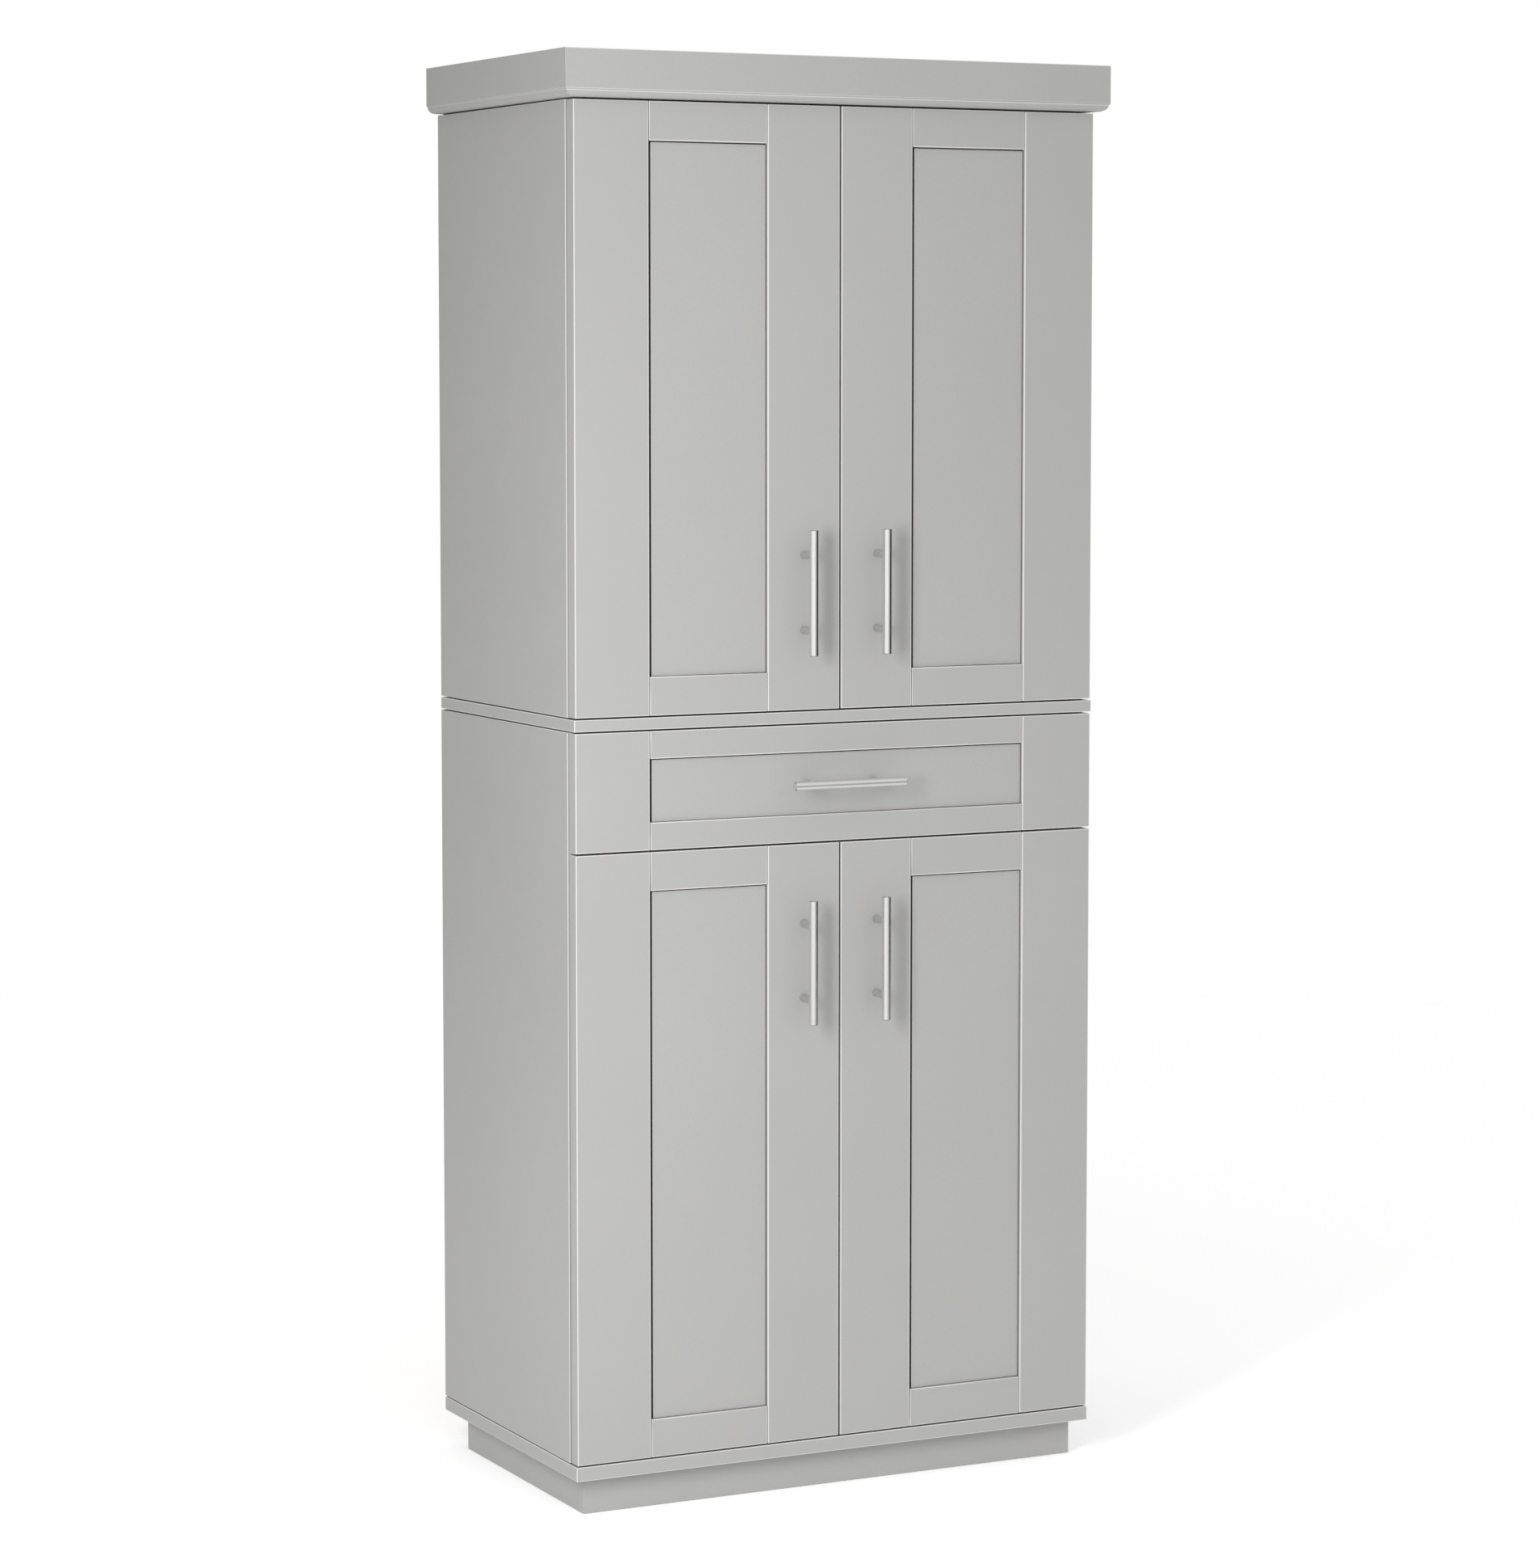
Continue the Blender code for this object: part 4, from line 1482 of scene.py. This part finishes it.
    def build_inside(self) -> None:
        """The board under the drawer, the board under the crown, and the loose shelves."""
        inside = (INSIDE, INSIDE_EDGE)
        self.make_board("board_under_drawer", "drawer_divider", inside, self.inside_ease)
        self.make_board("board_under_crown", "top_board", PAINT_WITH_EDGE_HIGHLIGHT, self.inside_ease)
        for shelf in self.shelves:
            low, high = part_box(shelf)
            make_piece(f"{shelf}_board", box((low.x, low.y + self.band, low.z), high), self.body, inside,
                       [shelf], all_round(self.inside_ease))
            make_piece(f"{shelf}_edge_band", box(low, (high.x, low.y + self.band, high.z)), self.body,
                       (INSIDE_EDGE, INSIDE_EDGE), (), all_round(self.band_ease))

    def build_pins(self) -> None:
        """Four pins under each shelf."""
        inner = min(abs(value) for value in (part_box("upper_side_left")[1].x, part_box("upper_side_right")[0].x))
        for shelf in self.shelves:
            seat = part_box(shelf)[0].z - self.pin_r
            pins = []
            for side in Side:
                for y in self.pin_rows:
                    r = self.pin_r
                    profile = [(0, -0.007), (r, -0.007), (r, 0.0), (r + 0.0011, 0.0), (r + 0.0011, 0.0009),
                               (r, 0.0009), (r, 0.0085), (r - 0.0006, 0.0092), (0, 0.0092)]
                    points = [(radius, -side.sign * reach) for radius, reach in profile]
                    pins.append(lathe(points, 20, Axis.X, (side.sign * inner, y, seat - 0.00015)))
            make_piece(f"{shelf}_pins", merge(pins), self.body, (PLATE,))

    def build_fixings(self) -> None:
        """Cam covers, edge buffers, and the bracket that ties the cabinet to a wall."""
        covers = []
        profile = [(0, -0.0005), (0.0078, -0.0005), (0.0082, -0.0002), (0.0082, 0.0002), (0, 0.0002)]
        for node in ("top_board", "drawer_divider"):
            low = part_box(node)[0]
            for x in (-0.322, 0.322):
                for y in (-0.120, 0.185):
                    covers.append(lathe(profile, 28, Axis.Z, (x, y, low.z)))
        make_piece("cam_covers", merge(covers), self.body, (CAP_PLASTIC,))
        buffers = []
        button = [(0, 0.0006), (0.0032, 0.0006), (0.0032, -0.0014), (0.0024, -0.0024), (0, -0.0026)]
        for side in Side:
            for node in ("upper_side", "lower_side"):
                low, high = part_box(f"{node}_{side.word}")
                x = side.sign * (max(abs(low.x), abs(high.x)) - 0.008)
                top = high.z - 0.03 if node == "upper_side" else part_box("drawer_divider")[0].z - 0.03
                buffers += [lathe(button, 20, Axis.Y, (x, low.y, z)) for z in (low.z + 0.03, top)]
        make_piece("edge_buffers", merge(buffers), self.body, (BUFFER_PLASTIC,))
        back_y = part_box("upper_back_panel")[0].y
        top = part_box("top_board")[0].z
        upright = box((-0.020, back_y - 0.0018, top - 0.036), (0.020, back_y, top))
        ledge = box((-0.020, back_y - 0.028, top - 0.0018), (0.020, back_y, top))
        bracket = combine(upright, [ledge], cut=False)
        make_piece("wall_tie_bracket", bracket, self.body, (ZINC, ZINC_EDGE_HIGHLIGHT), (),
                   all_round(0.0005))
        screw = Screw()
        heads = [screw.head((x, back_y - 0.0018, top - 0.022), Axis.Y, -1) for x in (-0.011, 0.011)]
        heads += [screw.head((x, back_y - 0.016, top - 0.0018), Axis.Z, -1) for x in (-0.011, 0.011)]
        make_piece("wall_tie_screws", merge(heads), self.body, (SCREW_STEEL,))


@dataclass(frozen=True)
class Crown:
    """The box crown: three mouldings mitred at the front corners, and the cover let in between them."""

    round_in: float = 0.0123
    round_up: float = 0.0080
    quirk_in: float = 0.0018
    quirk_up: float = 0.0022
    round_steps: int = 8
    thick: float = 0.024
    mitre_gap: float = 0.00012
    top_ease: float = 0.0008
    long_ease: float = 0.0004
    corner_ease: float = 0.0003
    cover_ease: float = 0.0005
    body: str = Carrier.CABINET.value

    def section(self, tall: float) -> list[Point]:
        """The moulding's section as (outward, up) points: a tall fascia, a small quirk, and a quarter round.

        Args:
            tall: the moulding's height.

        Returns:
            The points, in order round the section.
        """
        points = [(-self.thick, 0.0)]
        curve_in = self.round_in - self.quirk_in
        for step in range(self.round_steps + 1):
            turn = math.pi / 2 * step / self.round_steps
            points.append((curve_in * (math.sin(turn) - 1) - self.quirk_in, self.round_up * (1 - math.cos(turn))))
        points += [(0.0, self.round_up + self.quirk_up), (0.0, tall), (-self.thick, tall)]
        return points

    def build(self) -> None:
        """Builds the crown."""
        front_low, front_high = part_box("crown_front")
        tall = front_high.z - front_low.z
        outer_x = front_high.x
        outer_y = front_low.y
        back_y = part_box("crown_top")[1].y
        section = self.section(tall)
        shape = prism([(outer_y - out, front_low.z + up) for out, up in section], -outer_x, outer_x, Axis.X)
        for sign in (-1, 1):
            self.mitre(shape, Vector((sign * outer_x, outer_y, 0)), Vector((sign, 1, 0)))
        self.make("crown_moulding_front", shape, "crown_front", tall, front_low.z)
        for side in Side:
            turned = [(side.sign * (outer_x + out), front_low.z + up) for out, up in section]
            shape = prism(turned, outer_y, back_y, Axis.Y)
            self.mitre(shape, Vector((side.sign * outer_x, outer_y, 0)), Vector((-side.sign, -1, 0)))
            self.make(f"crown_moulding_{side.word}", shape, f"crown_{side.word}", tall, front_low.z)
        make_piece("crown_cover", box(*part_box("crown_top")), self.body, PAINT_WITH_EDGE_HIGHLIGHT,
                   ["crown_top"], all_round(self.cover_ease))

    def mitre(self, shape: bmesh.types.BMesh, corner: Vector, drop: Vector) -> None:
        """Cuts a moulding's end along the upright plane through an outer corner of the crown.

        Args:
            shape: the moulding.
            corner: the crown's outer corner.
            drop: the way out of the moulding, square to the mitre.
        """
        way = drop.normalized()
        geometry = shape.verts[:] + shape.edges[:] + shape.faces[:]
        cut = bmesh.ops.bisect_plane(shape, geom=geometry, dist=1e-7, plane_co=corner - way * self.mitre_gap,
                                     plane_no=way, clear_outer=True)
        rim = [item for item in cut["geom_cut"] if isinstance(item, bmesh.types.BMEdge)]
        bmesh.ops.edgeloop_fill(shape, edges=rim)

    def make(self, name: str, shape: bmesh.types.BMesh, node: str, tall: float, base: float) -> None:
        """A moulding whose long edges are eased finely at the quirk and more at the top.

        Args:
            name: what the piece is called.
            shape: its bmesh.
            node: the node it stands for.
            tall: the moulding's height.
            base: the level of its lower edge.
        """

        def rule(edge: bmesh.types.BMEdge) -> float:
            """The width for one edge.

            Args:
                edge: an edge of the shape.

            Returns:
                The bevel's width, in metres.
            """
            up = middle_of(edge).z - base
            if runs_along(edge) is Axis.Z:
                return self.corner_ease
            if up > tall - NEAR:
                return self.top_ease
            if runs_along(edge) is None:
                return 0.0
            return self.long_ease

        make_piece(name, shape, self.body, PAINT_WITH_EDGE_HIGHLIGHT, [node], rule)


# ---------------------------------------------------------------- studio


@dataclass(frozen=True)
class Lamp:
    """A soft rectangular lamp."""

    name: str
    at: tuple[float, float, float]
    aim: tuple[float, float, float]
    size: tuple[float, float]
    watts: float

    def build(self) -> None:
        """Builds the lamp."""
        data = bpy.data.lights.new(self.name, "AREA")
        data.shape = "RECTANGLE"
        data.size, data.size_y = self.size
        data.energy = self.watts
        lamp = bpy.data.objects.new(self.name, data)
        bpy.context.scene.collection.objects.link(lamp)
        lamp.location = self.at
        lamp.rotation_euler = (Vector(self.aim) - Vector(self.at)).to_track_quat("-Z", "Y").to_euler()
        lamp.visible_camera = False
        lamp.visible_glossy = False


@dataclass(frozen=True)
class Studio:
    """The pale floor, the soft light and the camera."""

    floor_r: float = 9.0
    fade_from: float = 1.6
    fade_to: float = 5.5
    floor_tone: float = 0.82
    floor_glow: float = 0.36
    floor_bounce: float = 0.18
    sky_way: tuple[float, float, float] = (0.42, -0.38, 0.82)
    sky_span: Point = (-0.60, 0.90)
    sky_levels: Point = (0.24, 0.98)
    shine_way: tuple[float, float, float] = (-0.52, -0.58, 0.62)
    shine_span: Point = (-0.03, 0.70)
    shine_levels: Point = (0.03, 1.06)
    camera_at: tuple[float, float, float] = (-2.6001, -5.2006, 1.4561)
    yaw: float = 26.552
    pitch: float = 4.661
    lens: float = 101.31
    shift_y: float = -0.04
    lamps: tuple[Lamp, ...] = (
        Lamp("key_strip", (-1.75, -1.55, 1.35), (-0.10, -0.2, 0.80), (0.42, 1.3), 31.0),
    )

    def build(self) -> None:
        """Builds the studio."""
        self.build_floor()
        self.build_world()
        for lamp in self.lamps:
            lamp.build()
        self.build_camera()
        bpy.context.scene.view_settings.view_transform = "Standard"

    def build_floor(self) -> None:
        """A pale disc that fades into the backdrop."""
        bm = bmesh.new()
        bmesh.ops.create_circle(bm, cap_ends=True, segments=96, radius=self.floor_r)
        mesh = bpy.data.meshes.new("floor")
        bm.to_mesh(mesh)
        bm.free()
        floor = bpy.data.objects.new("floor", mesh)
        bpy.context.scene.collection.objects.link(floor)
        floor.location.z = -0.0005
        recipe = Recipe("pale_floor")
        tone = self.floor_tone
        speckle = recipe.spread(recipe.noise(90.0, 3.0, 0.5), 0.3, 0.7, 0.0, 1.0)
        recipe.feed("Base Color", recipe.blend_colours(speckle, (tone, tone, tone), (tone - 0.012,) * 3))
        recipe.fix("Roughness", 0.75)
        recipe.fix("Specular IOR Level", 0.15)
        path = recipe.tree.nodes.new("ShaderNodeLightPath")
        to_paint = recipe.spread(path.outputs["Is Diffuse Ray"], 0.0, 1.0, 0.0, self.floor_bounce)
        recipe.feed("Emission Strength",
                    recipe.spread(path.outputs["Is Camera Ray"], 0.0, 1.0, to_paint, self.floor_glow))
        length = recipe.tree.nodes.new("ShaderNodeVectorMath")
        length.operation = "LENGTH"
        recipe.tree.links.new(recipe.place, length.inputs[0])
        solid = recipe.spread(length.outputs["Value"], self.fade_from, self.fade_to, 1.0, 0.0)
        recipe.feed("Alpha", solid)
        recipe.material.cycles.emission_sampling = "NONE"
        mesh.materials.append(recipe.material)

    def build_world(self) -> None:
        """A white backdrop. Its light is stronger from above, and what metal shows of it is darker behind."""
        world = bpy.data.worlds.new("studio")
        bpy.context.scene.world = world
        world.use_nodes = True
        tree = world.node_tree
        background = tree.nodes["Background"]
        path = tree.nodes.new("ShaderNodeLightPath")
        place = tree.nodes.new("ShaderNodeTexCoord")
        above = self.ramp(tree, self.along(tree, place, self.sky_way), self.sky_span, self.sky_levels)
        mirrored = self.ramp(tree, self.along(tree, place, self.shine_way), self.shine_span, self.shine_levels)
        soft = self.choose(tree, path.outputs["Is Glossy Ray"], above, mirrored)
        final = self.choose(tree, path.outputs["Is Camera Ray"], soft, 1.0)
        tree.links.new(final, background.inputs["Strength"])
        world.cycles.sampling_method = "NONE"  # a sampled backdrop would show metal the diffuse gradient
        background.inputs["Color"].default_value = (1.0, 1.0, 1.0, 1.0)

    def along(self, tree: bpy.types.NodeTree, place: bpy.types.Node, way: Sequence[float]) -> bpy.types.NodeSocket:
        """How far a direction points along another, from -1 to 1.

        Args:
            tree: the world's nodes.
            place: the node that gives the direction.
            way: the direction to compare with.

        Returns:
            The cosine of the angle between them.
        """
        node = tree.nodes.new("ShaderNodeVectorMath")
        node.operation = "DOT_PRODUCT"
        node.inputs[1].default_value = Vector(way).normalized()
        tree.links.new(place.outputs["Generated"], node.inputs[0])
        return node.outputs["Value"]

    def ramp(self, tree: bpy.types.NodeTree, value: bpy.types.NodeSocket, span: Point,
             levels: Point) -> bpy.types.NodeSocket:
        """A value mapped from a span to two levels.

        Args:
            tree: the world's nodes.
            value: the value to map.
            span: the two values it runs between.
            levels: what they become.

        Returns:
            The mapped value.
        """
        node = tree.nodes.new("ShaderNodeMapRange")
        for socket, number in zip(("From Min", "From Max", "To Min", "To Max"), (*span, *levels)):
            node.inputs[socket].default_value = number
        tree.links.new(value, node.inputs["Value"])
        return node.outputs["Result"]

    def choose(self, tree: bpy.types.NodeTree, gate: bpy.types.NodeSocket, off: float | bpy.types.NodeSocket,
               on: float | bpy.types.NodeSocket) -> bpy.types.NodeSocket:
        """A value that is off where the gate is 0 and on where it is 1.

        Args:
            tree: the world's nodes.
            gate: the value that chooses.
            off: the result where the gate is 0.
            on: the result where it is 1.

        Returns:
            The chosen value.
        """
        node = tree.nodes.new("ShaderNodeMix")
        node.data_type = "FLOAT"
        tree.links.new(gate, node.inputs["Factor"])
        for socket, source in zip((node.inputs["A"], node.inputs["B"]), (off, on)):
            if isinstance(source, float):
                socket.default_value = source
            else:
                tree.links.new(source, socket)
        return node.outputs["Result"]

    def build_camera(self) -> None:
        """The camera, a little above the middle and to the left."""
        data = bpy.data.cameras.new("camera")
        data.lens = self.lens
        data.sensor_width = 36.0
        data.shift_y = self.shift_y
        data.clip_end = 100.0
        camera = bpy.data.objects.new("camera", data)
        bpy.context.scene.collection.objects.link(camera)
        camera.location = self.camera_at
        camera.rotation_euler = (math.radians(90 - self.pitch), 0.0, math.radians(-self.yaw))
        bpy.context.scene.camera = camera


def main() -> None:
    """Builds every sub-assembly in order, then the studio."""
    logging.basicConfig(level=logging.INFO, format="%(message)s")
    assemblies = [Carcass(), Crown(), Drawer()]
    assemblies += [Door(level, side) for level in ("upper", "lower") for side in Side]
    for assembly in assemblies:
        LOG.info("building %s", type(assembly).__name__)
        assembly.build()
    Studio().build()


if __name__ == "__main__":
    main()
